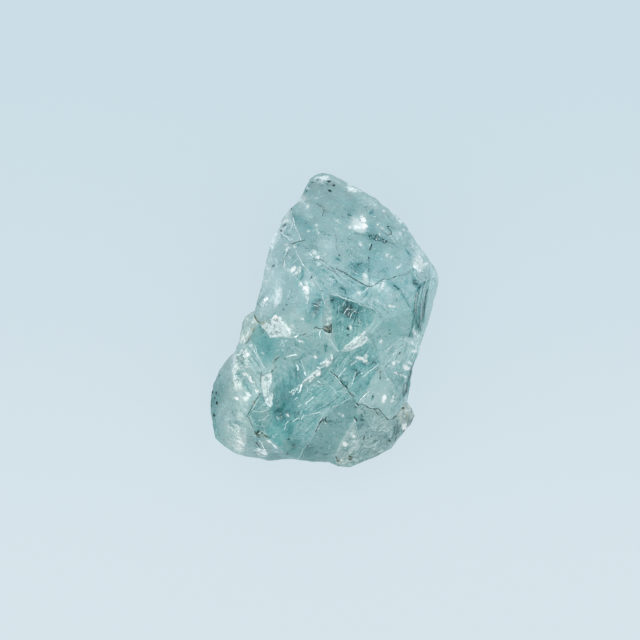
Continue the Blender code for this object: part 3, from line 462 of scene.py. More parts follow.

# %% Worn edges and thin bright lines, partly painted edge highlights: (half width, brightness, corners)
SEAMS_AND_EDGE_HIGHLIGHTS = (
    (0.55, 0.6, ((280, 231.5), (283, 234.5), (287, 237), (290.5, 241))),
    (0.5, 0.45, ((291, 243), (294, 246.5), (296, 250), (298, 255.5))),
    (0.52, 0.65, ((298, 255.5), (300.5, 260), (303, 264.5), (306.5, 268.5), (310, 273))),
    (0.48, 0.58, ((313, 277), (317, 283), (319.5, 287.5), (322, 292))),
    (0.55, 0.6, ((322, 294), (323, 299), (325, 303.5))),
    (0.55, 0.6, ((293, 217), (295.5, 226), (297.5, 231), (300, 237), (301.3, 241))),
    (0.5, 0.5, ((286.5, 250), (285, 255), (284, 262), (283, 267))),
    (0.5, 0.45, ((292.5, 263.5), (295, 261), (297.5, 259))),
    (0.6, 0.75, ((282, 232.5), (285, 236), (288.5, 237.8))), (0.55, 0.5, ((277, 238.5), (279, 236.8))),
    (0.6, 0.6, ((285.3, 249.5), (288.5, 248.5))), (0.6, 0.65, ((285, 254), (286, 252))),
    (0.55, 0.45, ((285, 262), (283, 267.5))), (0.55, 0.55, ((290, 290), (288.5, 295), (287.8, 299))),
    (0.7, 0.6, ((305.5, 281), (308, 285.5))), (0.6, 0.5, ((311.5, 279), (313.5, 284))),
    (0.45, 0.85, ((330, 294.5), (337, 295.2), (343, 297.3), (349, 299.6), (356, 302), (362, 305))),
    (0.45, 0.65, ((362, 305), (369, 307), (374, 309.5), (377.5, 313))),
    (0.4, 0.6, ((346.5, 299.5), (344, 303), (342.5, 306))),
    (0.45, 0.85, ((347.5, 308.5), (345.5, 311), (344, 314))), (0.45, 0.7, ((348, 309), (352, 309.6))),
    (0.42, 0.65, ((355.5, 310), (353, 312.5), (351, 315), (350, 319))),
    (0.45, 0.45, ((340, 306), (338, 309), (339, 313))),
    (1.2, 0.4, ((328.8, 334.5), (331, 341), (333.5, 346), (336, 349.5))),
    (0.4, 0.7, ((331.5, 341), (334.5, 346.5), (338, 351.7))),
    (0.6, 0.85, ((320.3, 331), (319.3, 334), (320.5, 337))),
    (0.45, 0.32, ((380, 314), (375, 320), (370, 327), (366, 332))),
    (0.45, 0.36, ((387, 318), (380, 322), (373, 330), (369, 336))),
    (0.45, 0.35, ((369, 339), (373, 346), (377, 352))),
    (0.5, 0.75, ((363, 377), (369, 371.7), (374, 368), (378.5, 364.5))),
    (0.55, 0.55, ((351.5, 385.5), (353, 380), (355, 375), (355.5, 371.5))),
    (0.5, 0.75, ((338.5, 377), (341, 373.5), (345.5, 368.5))),
    (0.5, 0.8, ((359.5, 401.5), (362.5, 397.5), (366, 394), (369.5, 391.5))),
    (0.5, 0.55, ((361, 402.8), (365, 399), (369, 396))),
    (0.5, 0.45, ((361.5, 403.2), (366, 403.8), (371, 407), (375, 407.7))),
    (0.4, 0.42, ((350, 398), (345.5, 400), (341.5, 403.5))),
    (0.45, 0.5, ((338, 405.3), (334.5, 406), (332.5, 408))),
    (0.42, 0.4, ((329, 408), (325.5, 410.5), (321, 413.5))), (0.6, 0.65, ((319.8, 411.8), (317, 413))),
    (0.45, 0.5, ((310, 414), (315, 413.5))), (0.45, 0.45, ((324.5, 414), (322, 417), (320.5, 419.5))),
    (0.45, 0.35, ((316, 432), (313, 436), (309.5, 442.5), (306, 446), (303, 448.7))),
    (0.45, 0.5, ((303, 448.7), (302, 452), (300, 456), (298, 459))),
    (0.45, 0.45, ((384, 352), (392, 345), (399, 340), (405, 333.5))),
    (0.45, 0.5, ((380, 371), (388, 362), (396, 352), (404, 345))),
    (0.5, 0.45, ((384, 372), (388, 380), (391, 384))), (0.6, 0.6, ((387.3, 380.8), (388.5, 378.8))),
    (0.5, 0.4, ((355, 421), (357, 430), (359, 438))),
    (0.5, 0.4, ((355, 421), (349, 430), (342, 440), (337, 452))),
    (0.55, 0.6, ((364, 444.5), (366.5, 447.7), (370, 447.5), (375, 445.3), (379, 440.3))),
    (0.5, 0.55, ((374, 450), (376, 447.5))), (0.6, 0.65, ((377.5, 452.8), (380, 452), (383, 450.3))),
    (0.5, 0.5, ((365.8, 441), (366.3, 438))),
    (0.5, 0.35, ((374.5, 416), (373, 422), (372.5, 428), (376, 430.5), (381, 430.3))),
    (0.6, 0.5, ((383, 430), (386.5, 431.5), (389, 430))), (0.5, 0.45, ((370, 433), (369.5, 438))),
    (0.8, 0.8, ((270, 337), (280, 336.7), (290, 336.8), (296, 337), (298, 335.5))),
    (0.6, 0.6, ((293, 337.3), (296.5, 339), (300, 341.8))),
    (0.5, 0.65, ((255, 346), (257, 353), (260, 360), (263, 366), (266, 369.5))),
    (0.5, 0.6, ((250, 343), (254, 351), (259, 359))),
    (0.4, 0.6, ((280, 345.5), (282.5, 342), (285, 346), (281, 346.7))),
    (0.4, 0.5, ((275, 353), (277.5, 350.5), (279.5, 350))),
    (0.4, 0.5, ((291.5, 348), (295, 347.3), (298.5, 349), (300, 352.5))),
    (0.5, 0.7, ((238.8, 387.5), (243.5, 391), (248.8, 396))), (0.6, 0.5, ((262, 377), (270, 372))),
    (0.45, 0.6, ((254, 411), (259, 412), (265, 411), (269, 408.5))),
    (0.45, 0.55, ((259, 420.5), (265, 419), (269, 414.5))),
    (0.45, 0.55, ((259, 399), (256.5, 402), (254.3, 406), (252, 410))),
    (0.45, 0.45, ((250.5, 416), (251.5, 420), (253.5, 424))), (0.6, 0.75, ((293, 421.3), (298, 418))),
    (0.6, 0.75, ((301, 419.5), (302.5, 417), (303.7, 414.8))),
    (0.5, 0.65, ((288.5, 421), (286, 424), (284.5, 429))), (0.8, 0.7, ((276.7, 416.5), (278.6, 419.6))),
    (0.55, 0.7, ((305.5, 403.7), (308.5, 401), (311.5, 399), (313.5, 397))),
    (0.5, 0.85, ((306.5, 403), (310, 400.3), (313, 397.8))), (0.6, 0.6, ((295, 399.5), (297, 397.5))),
    (0.5, 0.6, ((298.5, 403.5), (300, 401.8))), (0.45, 0.5, ((298.5, 406.5), (302, 405))),
    (0.45, 0.45, ((306, 410), (310, 405.5), (313.5, 402.5))), (0.45, 0.45, ((310, 410), (314, 406.5))),
    (0.45, 0.45, ((300.5, 413), (303, 409), (307, 405))),
    (0.42, 0.4, ((303.5, 415), (309, 415), (316, 413.3))),
    (0.5, 0.5, ((307, 392.5), (308, 388.5), (306.5, 386))), (0.6, 0.55, ((311, 390.3), (312.3, 388.3))),
    (0.6, 0.7, ((317.7, 381.2), (320.2, 382.8))),
    (0.45, 0.36, ((333, 395), (338, 391.3), (343, 391.3), (347.5, 392.3))),
    (0.45, 0.4, ((331, 397), (334.5, 393.5))), (0.45, 0.4, ((334, 398.5), (338.5, 394.5))),
    (0.4, 0.35, ((322, 407), (330, 402), (337, 397))),
    (0.6, 0.75, ((259, 440), (261.5, 443), (262.5, 446), (264.5, 449.5))),
    (0.7, 0.9, ((268.5, 441), (271, 442.6))), (0.55, 0.65, ((272, 443.5), (276, 448))),
    (0.55, 0.75, ((254.5, 451), (257, 448.8), (260, 449.3), (263, 450.5), (266, 449.5))),
    (0.5, 0.65, ((257.5, 453.5), (262, 456), (266, 456), (268.5, 453))),
    (0.45, 0.45, ((413, 271.5), (414, 276), (417, 279.5), (421, 281.8), (428.5, 279.5))),
    (0.4, 0.35, ((423, 284), (420, 292), (418.5, 300), (418, 306))),
    (0.55, 0.65, ((414, 325), (412.5, 332))),
    (0.38, 0.42, ((428, 283), (425.5, 292), (423.5, 302), (422.5, 308))),
    (0.36, 0.38, ((420.5, 287), (418.5, 296), (417.5, 306), (416.5, 314))),
    (0.34, 0.38, ((416.5, 292), (415, 302), (413.8, 313))),
    (0.34, 0.34, ((423, 309), (422.3, 316), (420.5, 325))),
    (0.4, 0.4, ((426.5, 281), (424.5, 289), (423, 297))),
    (0.45, 0.45, ((421, 300), (420.3, 312), (419.7, 318))),
    (0.5, 0.6, ((414, 332), (413, 336), (415.5, 339.5), (418.7, 335.5), (417.5, 330.5), (414, 332))),
    (0.45, 0.5, ((412, 341), (416, 347), (414, 354))), (0.45, 0.5, ((418, 342), (415.5, 350), (412, 358))),
    (0.5, 0.5, ((402.5, 400), (405, 397.3), (408, 391.5))),
    (0.5, 0.8, ((403, 365.3), (406.5, 366), (409, 368))), (0.45, 0.5, ((399, 340), (404, 339), (408, 341))),
    (0.35, 0.32, ((338, 280), (346, 287), (350, 293))),
    (0.45, 0.65, ((369, 287), (366, 289.5), (363, 292.5))), (0.4, 0.4, ((380, 302), (384, 306), (388, 311))),
    (0.45, 0.55, ((352, 270.5), (354.5, 272.7), (358, 274.8))),
    (0.45, 0.4, ((368.5, 268), (366, 271.5), (362.5, 275))),
    (0.4, 0.35, ((372, 279), (379, 280), (386, 281))),
    (0.6, 0.5, ((382, 228.3), (386, 231.5), (390.5, 237), (394.5, 243))),
    (0.5, 0.55, ((372.5, 216), (374.5, 217.3), (376.7, 215))),
    (0.45, 0.4, ((337.5, 271), (341, 276), (345, 280))), (0.4, 0.35, ((333, 273), (338, 279))),
    (0.5, 0.5, ((291.5, 238.8), (295, 241), (298, 241.5))), (0.45, 0.6, ((281.7, 224.8), (284, 222.5))),
    (0.45, 0.6, ((282.5, 228), (285.5, 224.7))), (0.5, 0.65, ((314, 305.3), (318, 306.3))),
    (0.45, 0.5, ((315.5, 311.5), (317.5, 310.8))), (0.5, 0.45, ((312.5, 318), (316, 315))),
    (0.55, 0.6, ((241.5, 365.5), (244, 370), (246, 374))), (0.45, 0.4, ((252, 360), (258, 366), (261, 372))),
    (0.45, 0.5, ((330, 386), (334, 389), (336, 393))), (0.45, 0.5, ((245, 352), (247, 358), (250, 364))),
    (1.1, 1, ((361.8, 334.8), (363.5, 333.2), (365, 332.6))),
    (0.9, 1, ((356.6, 339), (358.2, 337.6), (360.5, 336.4))),
    (0.8, 0.85, ((362, 338.8), (362.6, 337.2), (363.4, 336.5))),
    (1.3, 1, ((359, 342.2), (359.5, 341), (360.4, 340.3))),
    (1, 1, ((366.6, 337.4), (366.7, 339.5), (365.3, 341))),
    (0.9, 1, ((365.3, 341), (363.3, 342.7), (361.2, 344.8), (359.8, 345.6))),
    (0.9, 0.85, ((355.5, 340.4), (353.8, 342.2), (352.8, 344))), (1, 1, ((348.5, 346.6), (350, 346.5))),
    (0.9, 0.85, ((358.5, 344.9), (356, 346.5), (354.2, 347.3), (351.8, 348.4))),
    (0.6, 0.6, ((350.5, 349.2), (348, 350.2), (345.5, 350.6), (342, 351.5))),
    (0.5, 0.5, ((345.8, 345.5), (345, 347), (344, 349))),
    (0.75, 0.85, ((331.5, 354.5), (331.5, 359), (331, 362), (329.8, 363))),
    (1.5, 1, ((328, 361.8), (327.4, 363.5), (326.3, 365.6))),
    (0.7, 0.85, ((327.6, 358.3), (326, 360.3), (324.6, 361.3))),
    (0.95, 0.9, ((324.2, 361.5), (322.5, 362.6), (320.6, 363.5))),
    (0.6, 0.6, ((325, 365.5), (323, 366.8), (322, 368))),
    (0.9, 0.85, ((317.6, 367.2), (319.3, 367.6), (320.4, 368.3))),
    (0.5, 0.55, ((320.3, 368.5), (320.2, 371))), (0.8, 1, ((319.8, 371), (319.4, 373), (318.3, 374.3))),
    (1.1, 1, ((319, 374.2), (317.5, 374.8), (316.3, 375.2))),
    (0.95, 1, ((318, 370.5), (315.5, 371.6), (313, 373.4), (310.7, 375.6))),
    (0.7, 0.85, ((310.7, 375.6), (309.5, 377), (307, 378.5), (304.5, 380.8), (302.5, 382.8))),
    (1, 1, ((313.6, 376.3), (312, 377.8), (310.8, 379.5), (309.3, 381.4))),
    (0.6, 0.6, ((312.3, 376.3), (310.2, 376.8), (309, 379))),
    (0.45, 0.45, ((316.5, 370.3), (313, 372), (310, 375), (306.5, 377), (303.5, 381))),
    (1.05, 1, ((301.5, 384.8), (301, 387.5), (300.2, 390))),
    (0.8, 1, ((300.3, 390.2), (299.3, 392), (298.2, 393))),
    (0.8, 0.85, ((298.7, 385.2), (297.5, 387.3), (296.5, 389.5))),
    (0.65, 0.7, ((296.3, 389.5), (295, 391.5), (293.5, 394), (292.7, 395.3))),
    (0.7, 0.75, ((294.8, 388.4), (292.8, 390), (291.4, 391.5), (291.3, 392.5))),
    (0.5, 0.6, ((291, 391.5), (289.7, 391.2))), (0.95, 0.95, ((290, 355.8), (293, 355.2), (296.5, 354.5))),
    (0.6, 0.75, ((287.3, 356.7), (290, 355.9))), (0.5, 0.5, ((296, 363), (296.8, 365))),
    (0.9, 0.85, ((297, 365), (298.2, 367.5), (298, 369.8))),
    (0.5, 0.5, ((301.3, 360), (302, 363), (303.3, 367))), (0.7, 0.6, ((303.5, 367), (304.4, 369.5))),
    (0.85, 0.9, ((304.8, 372), (305.5, 374.8))), (1, 0.9, ((288, 328), (289.5, 331), (290, 335))),
    (0.8, 0.4, ((233.5, 356), (234.2, 362), (235.5, 370), (236.5, 378))),
    (0.6, 0.45, ((237, 381), (240.5, 387.5), (244, 392), (247.5, 396.5))),
    (0.9, 0.9, ((273, 336.2), (280, 335.6), (289, 335.5))), (1.6, 0.9, ((276.5, 328.5), (279, 328.5))),
    (1.2, 1, ((414.3, 262), (414, 264.5))),
    (1, 1, ((416.5, 256.5), (419.5, 258), (421.5, 260), (421.8, 262.5))),
    (1.1, 1, ((417.5, 260), (419, 262), (420.5, 264), (422.5, 265))),
    (0.9, 0.9, ((422, 265), (424.5, 265.3))), (1.5, 1, ((418, 267.5), (418.3, 270), (419, 272))),
    (1.2, 1, ((416, 265.5), (417.5, 267.5))), (0.8, 0.9, ((421.8, 267.5), (421.3, 268.8))),
    (1.3, 0.9, ((426, 264.5), (427, 263.2))), (1.1, 0.85, ((270.3, 374.5), (271, 379), (270.5, 382))),
    (0.8, 0.85, ((269.8, 384), (269.5, 388.5))), (1.2, 0.7, ((264.5, 386.5), (264.8, 388.5))),
    (1.3, 0.7, ((264, 391.5), (266.5, 391))), (1.2, 0.95, ((268.7, 398), (267.5, 401), (267.5, 402.5))),
    (1, 0.95, ((266, 402.3), (269, 404.5), (270.5, 406))), (0.8, 0.8, ((271, 396.5), (271.3, 403))),
)
print(len(SEAMS_AND_EDGE_HIGHLIGHTS), "bright lines")

# %% Frosted flakes: (whiteness, corners)
FLAKES = (
    (0.84, ((270, 321), (273, 317.5), (276, 315.5), (280, 317), (284.5, 323), (289.5, 329.5), (291, 333),
     (291, 335.8), (278, 336.2), (270.3, 337), (268, 332))),
    (0.74, ((261, 325), (266, 321), (272, 318), (273, 336), (270, 337), (266, 331), (263, 327.5))),
    (0.64, ((413, 264), (413.5, 260), (416, 256), (420, 257.5), (422.5, 260), (423, 263), (425, 262.5),
     (428, 262), (428, 265), (424, 266.5), (422, 269.5), (419.5, 273), (416.5, 268.5))),
    (0.7, ((341, 351.5), (345, 346), (350, 342.5), (354, 339.5), (356, 337.5), (361, 335.5), (364, 331.5),
     (366, 331.8), (366, 334), (364, 336.2), (366, 336.5), (367.5, 337.5), (367, 340.5), (364, 343.5),
     (361, 346), (357, 347.5), (352, 349.2), (348, 350.8), (343, 352))),
    (0.75, ((262, 377), (266, 375), (269.5, 373), (271.7, 373.5), (272, 380), (271.2, 385), (270.8, 390),
     (272.5, 394), (272.3, 400), (272, 405), (270.5, 407.3), (268, 405), (265, 402.5), (265.3, 400),
     (263.5, 397), (263, 391), (262, 384))),
    (0.3, ((321, 367), (320.5, 372), (318.5, 376), (313, 378.5), (309, 382.5), (306.5, 381.5), (303, 384.5),
     (301, 383.5), (307, 377.5), (314, 371.5), (318, 367))),
    (0.22, ((333, 354), (333, 360), (330, 365), (327, 367.5), (322, 368), (320, 364.5), (324, 361),
     (327, 358), (330.5, 358))),
    (0.85, ((256, 452), (258, 449), (262, 451), (265.5, 450.3), (267.5, 453.5), (264, 455.5), (259, 454.5))),
    (0.7, ((282.5, 221.5), (284.5, 218.5), (287.5, 219), (289.5, 221.5), (286, 222.5), (283, 223.5))),
    (0.8, ((402, 424), (406, 423), (407, 428), (403, 431))),
    (0.8, ((403, 364.8), (408, 366), (410, 369), (406, 370.5))),
    (0.45, ((236, 432), (246, 428), (247, 440), (244, 452), (236, 450))),
)
print(len(FLAKES), "frosted flakes")

# %% Crumbled ends, where the break is grainy: (strength, corners)
CRUMBLES = (
    (0.75, ((352, 424), (357, 432), (361, 446), (363, 464), (334, 468), (335, 455), (341, 444), (346, 434))),
    (0.35, ((246, 316), (254, 312), (261, 317), (271, 318), (262, 327), (256, 326), (250, 338), (243, 344),
     (238, 340))),
    (0.75, ((402, 403), (410, 403), (419, 416), (405, 435), (400, 426), (399, 412))),
    (1, ((324, 327), (331, 326), (331.5, 332), (326, 331))),
    (0.7, ((228, 436), (244, 428), (250, 442), (248, 456), (232, 452))),
    (0.6, ((400, 228), (412, 236), (418, 250), (408, 252), (396, 240))),
    (0.6, ((378, 281), (387, 280), (386, 295), (378, 292))),
    (0.18, ((278, 216), (290, 216), (292, 240), (278, 240))),
    (0.5, ((410, 254), (430, 256), (432, 268), (420, 276), (412, 270))),
)
print(len(CRUMBLES), "crumbled places")

# %% Painted highlights, as bright spots: (x, y, half length, half width, turn in degrees, softness)
GLINTS = (
    (363.8, 219.5, 4.6, 2.7, 80, 0.2), (364.2, 226, 3.2, 2.8, 0, 0.2), (361, 223.5, 3.6, 1.6, 60, 0.4),
    (361.5, 214.7, 1.8, 1.2, 20, 0.3), (355.5, 223, 5, 2.6, 50, 0.9), (349.7, 227, 2.2, 1.7, 0, 0.4),
    (358, 229, 6, 2.6, 15, 1), (307.3, 206, 2.2, 1.4, 100, 0.5), (303, 198.5, 3.4, 2.2, 120, 1),
    (349.5, 189.8, 1.7, 1.1, 120, 0.3), (355.3, 190.2, 2, 0.9, -10, 0.3), (361.3, 245, 1.8, 1.2, 40, 0.5),
    (314.5, 252.6, 1.8, 1.6, 0, 0.6), (318.3, 257.3, 1.7, 1.3, 30, 0.4), (325, 254.5, 1.8, 0.8, -40, 0.5),
    (293.5, 269.5, 3.4, 2.2, -60, 0.3), (297, 272.5, 2.6, 1.4, -40, 0.4), (300, 269.5, 2.4, 1.2, -80, 0.4),
    (305.8, 288, 3.2, 2.4, 20, 0.25), (306.8, 291, 3, 1.8, 80, 0.3), (301, 284, 1.9, 1.5, 90, 0.3),
    (307, 298, 2.8, 1, 95, 0.6), (266, 298.6, 2.4, 1.5, -35, 0), (263.8, 301.5, 1.6, 1, -30, 0.1),
    (279, 288, 1.3, 1, 0, 0.6), (279, 294, 4.2, 2.2, 80, 0.9), (276, 303.5, 2.6, 1.4, 110, 0.8),
    (276, 317.4, 1.7, 1.4, 30, 0.3), (302.5, 318, 1.5, 0.8, 70, 0.4), (293, 326, 1.2, 0.7, 40, 0.5),
    (387, 255.3, 1.8, 1.2, 100, 0.4), (400, 265.5, 2, 0.8, -50, 0.4), (398.5, 267, 1.6, 0.6, -30, 0.4),
    (382.5, 285.5, 2.9, 1.2, 105, 0.4), (391.5, 306, 2.3, 0.9, 10, 0.5), (359, 293, 1.6, 1.2, 60, 0.6),
    (365.5, 278, 4.8, 1.8, 85, 0.9), (377.7, 224, 1.3, 0.9, -40, 0.4), (383.3, 211.5, 1.4, 0.8, 30, 0.5),
    (382.3, 228, 1.6, 0.9, 0, 0.6), (377.7, 238, 2.4, 0.6, -60, 0.2), (403.7, 229.5, 1.2, 0.9, 0, 0.5),
    (412.3, 245, 1.7, 0.8, 80, 0.5), (416, 247, 1.4, 0.9, 30, 0.5), (400, 234, 1.6, 1, 0, 0.9),
    (408.5, 231, 1.2, 0.9, 40, 0.6), (384, 398.4, 2.7, 1.4, 95, 0.3), (383.5, 402, 1.1, 0.8, 80, 0.5),
    (394, 397.5, 1.3, 0.9, 80, 0.5), (392, 401.2, 1.3, 1, 0, 0.5), (381, 342, 1.5, 1.1, -30, 0.4),
    (360.5, 358.4, 3.4, 1.1, 8, 0.4), (366, 356, 1.6, 0.8, 10, 0.4), (354, 363, 3, 0.7, -30, 0.5),
    (365, 361, 1.8, 0.8, 30, 0.5), (406.5, 367.5, 3, 1.8, 20, 0.4), (394, 363, 2, 1.2, -60, 0.4),
    (397.5, 361.5, 1.5, 0.8, 0, 0.6), (410.5, 363, 1.4, 1, 40, 0.5), (396.5, 373, 2.4, 0.8, 20, 0.4),
    (402, 375.2, 1.2, 0.9, 0, 0.4), (405, 376.5, 1.3, 0.9, 60, 0.4), (345, 444, 2.6, 2, 20, 0.35),
    (328, 363, 2.8, 1.8, -50, 0.25), (318, 373.5, 2.6, 1.4, -30, 0.3), (315, 357, 1.5, 0.9, 60, 0.4),
    (288, 415, 1.7, 1.2, 30, 0.3), (234.5, 357, 3.2, 1.2, 88, 0.7), (246.3, 367, 1.5, 1, 40, 0.5),
    (245.5, 374.5, 2.6, 1.3, 10, 0.2), (250.5, 380, 3.6, 1.3, 60, 0.2), (254, 382.5, 1.6, 1.1, 30, 0.3),
    (237, 398.3, 2.2, 1.1, 30, 0.2), (246.5, 398, 2.6, 1.6, 10, 0.4), (237, 444, 1.9, 1.2, 70, 0.6),
    (269, 441.7, 2.2, 1.3, 20, 0.4), (275.3, 446.5, 2, 0.9, 50, 0.4), (275.5, 453, 1.6, 0.9, 10, 0.5),
    (342, 414.8, 1.4, 0.8, 30, 0.5), (339, 413.5, 1.1, 0.7, 0, 0.5), (404.5, 427, 2.2, 1.7, 0, 0.5),
    (407, 410.5, 2, 0.9, -20, 0.5), (350.5, 327.3, 1.1, 0.5, 70, 0.8), (308, 188, 1.3, 1, 0, 0.6),
    (316, 198, 1, 0.7, 0, 0.6), (268, 268.5, 1.4, 0.9, 60, 0.6), (266, 281, 1.2, 0.8, 0, 0.6),
    (262, 277.5, 0.9, 0.7, 0, 0.6), (288, 248.5, 1.8, 1, -30, 0.5), (294.5, 247, 1.5, 0.9, 0, 0.6),
    (286, 244.5, 1.5, 1, 10, 0.7), (289, 257, 1, 0.8, 40, 0.6), (286.5, 269.5, 1.4, 0.9, 20, 0.6),
    (284, 265, 2.2, 0.6, 95, 0.6), (316.5, 225, 1.1, 0.8, 40, 0.6), (317, 229.5, 1, 0.8, 0, 0.6),
    (318.5, 233, 0.8, 0.8, 0, 0.6), (308.5, 231.5, 0.8, 0.8, 0, 0.7), (337, 221.5, 1.6, 0.9, 50, 0.7),
    (337, 229.5, 1.4, 0.9, 0, 0.8), (416, 334, 2.6, 1, 60, 0.6), (412, 343, 1.8, 1, 30, 0.6),
    (414, 351, 2.2, 0.9, 0, 0.6), (389, 249, 0.8, 0.8, 0, 0.7), (391, 257.5, 1.2, 0.8, 0, 0.8),
    (286, 341, 0.8, 0.6, 0, 0.6), (262, 353, 0.9, 0.6, 30, 0.8), (300, 341, 1.6, 0.8, 20, 0.5),
    (283, 343, 1.2, 0.6, 70, 0.5), (306.5, 283, 1, 0.8, 0, 0.7), (313, 284, 1.6, 0.9, 60, 0.8),
)
print(len(GLINTS), "bright spots")

# %% Dark specks of mineral: (x, y, half length, half width, turn in degrees)
SPECKS = (
    (328.8, 181.8, 1.4, 1.1, 0), (333.6, 185.8, 1.7, 1.2, -15), (330, 191.2, 2.4, 1.1, 35),
    (387.6, 227.1, 1.4, 0.9, 10), (339.3, 255.2, 1.2, 0.9, 50), (322, 290.6, 1.2, 1, 20),
    (311.6, 277.5, 1.9, 0.8, 115), (387.6, 312.3, 1.2, 0.6, 0), (348.5, 215, 2.2, 1, 20),
    (351.5, 219.5, 1.2, 0.8, 30), (374.3, 213.5, 1.8, 0.6, 55), (368.4, 257.6, 0.9, 0.6, 90),
    (324.3, 234.3, 1, 0.6, 0), (311.5, 182.3, 1.6, 0.6, 0), (306.6, 190.6, 1.3, 0.6, -60),
    (292, 208, 2, 0.8, -60), (281.5, 231, 1.2, 0.8, -60), (283.7, 226, 2.6, 0.6, -50),
    (289.5, 235.5, 2.2, 0.7, 25), (212.5, 392, 1.9, 1, 85), (216, 393, 1.4, 0.8, 80),
    (214.5, 398, 1.8, 0.8, 70), (217, 403, 1.7, 1.2, 60), (212, 406, 1.6, 0.7, 80),
    (214.4, 415.5, 1.9, 0.9, 85), (219.4, 376, 1, 0.6, 80), (223.7, 439, 1.6, 0.8, 60),
    (232, 452, 1.6, 0.8, 20), (348, 328.5, 1.8, 0.8, 60), (354.3, 329, 1, 0.9, 0),
    (348, 335.2, 1.8, 0.8, 50), (390.4, 333.8, 0.9, 0.9, 0), (399.7, 353, 1, 0.8, 60),
    (287, 304.5, 1.3, 0.7, 10), (288.2, 299, 1.6, 0.6, 100), (284, 309.3, 1.2, 0.6, 10),
    (273.5, 265.5, 1.6, 0.5, -40), (306, 223, 1, 0.6, 0), (315, 223, 1.2, 0.8, 0), (300, 300, 0.9, 0.6, 0),
    (289, 454, 1.4, 0.6, 0), (288, 440, 1.4, 0.6, 0), (362.3, 452.5, 1.3, 0.8, 0), (390, 441, 1.3, 0.7, 40),
    (386.5, 443.5, 1.3, 0.6, 60), (373.3, 396.4, 0.9, 0.7, 0), (285, 358.8, 1.4, 0.8, -40),
    (404, 433, 1.8, 0.8, -20), (408, 431, 1.2, 0.8, 30), (403, 408, 1.3, 0.9, 0), (413, 421, 1.2, 0.8, 70),
)
print(len(SPECKS), "dark specks")
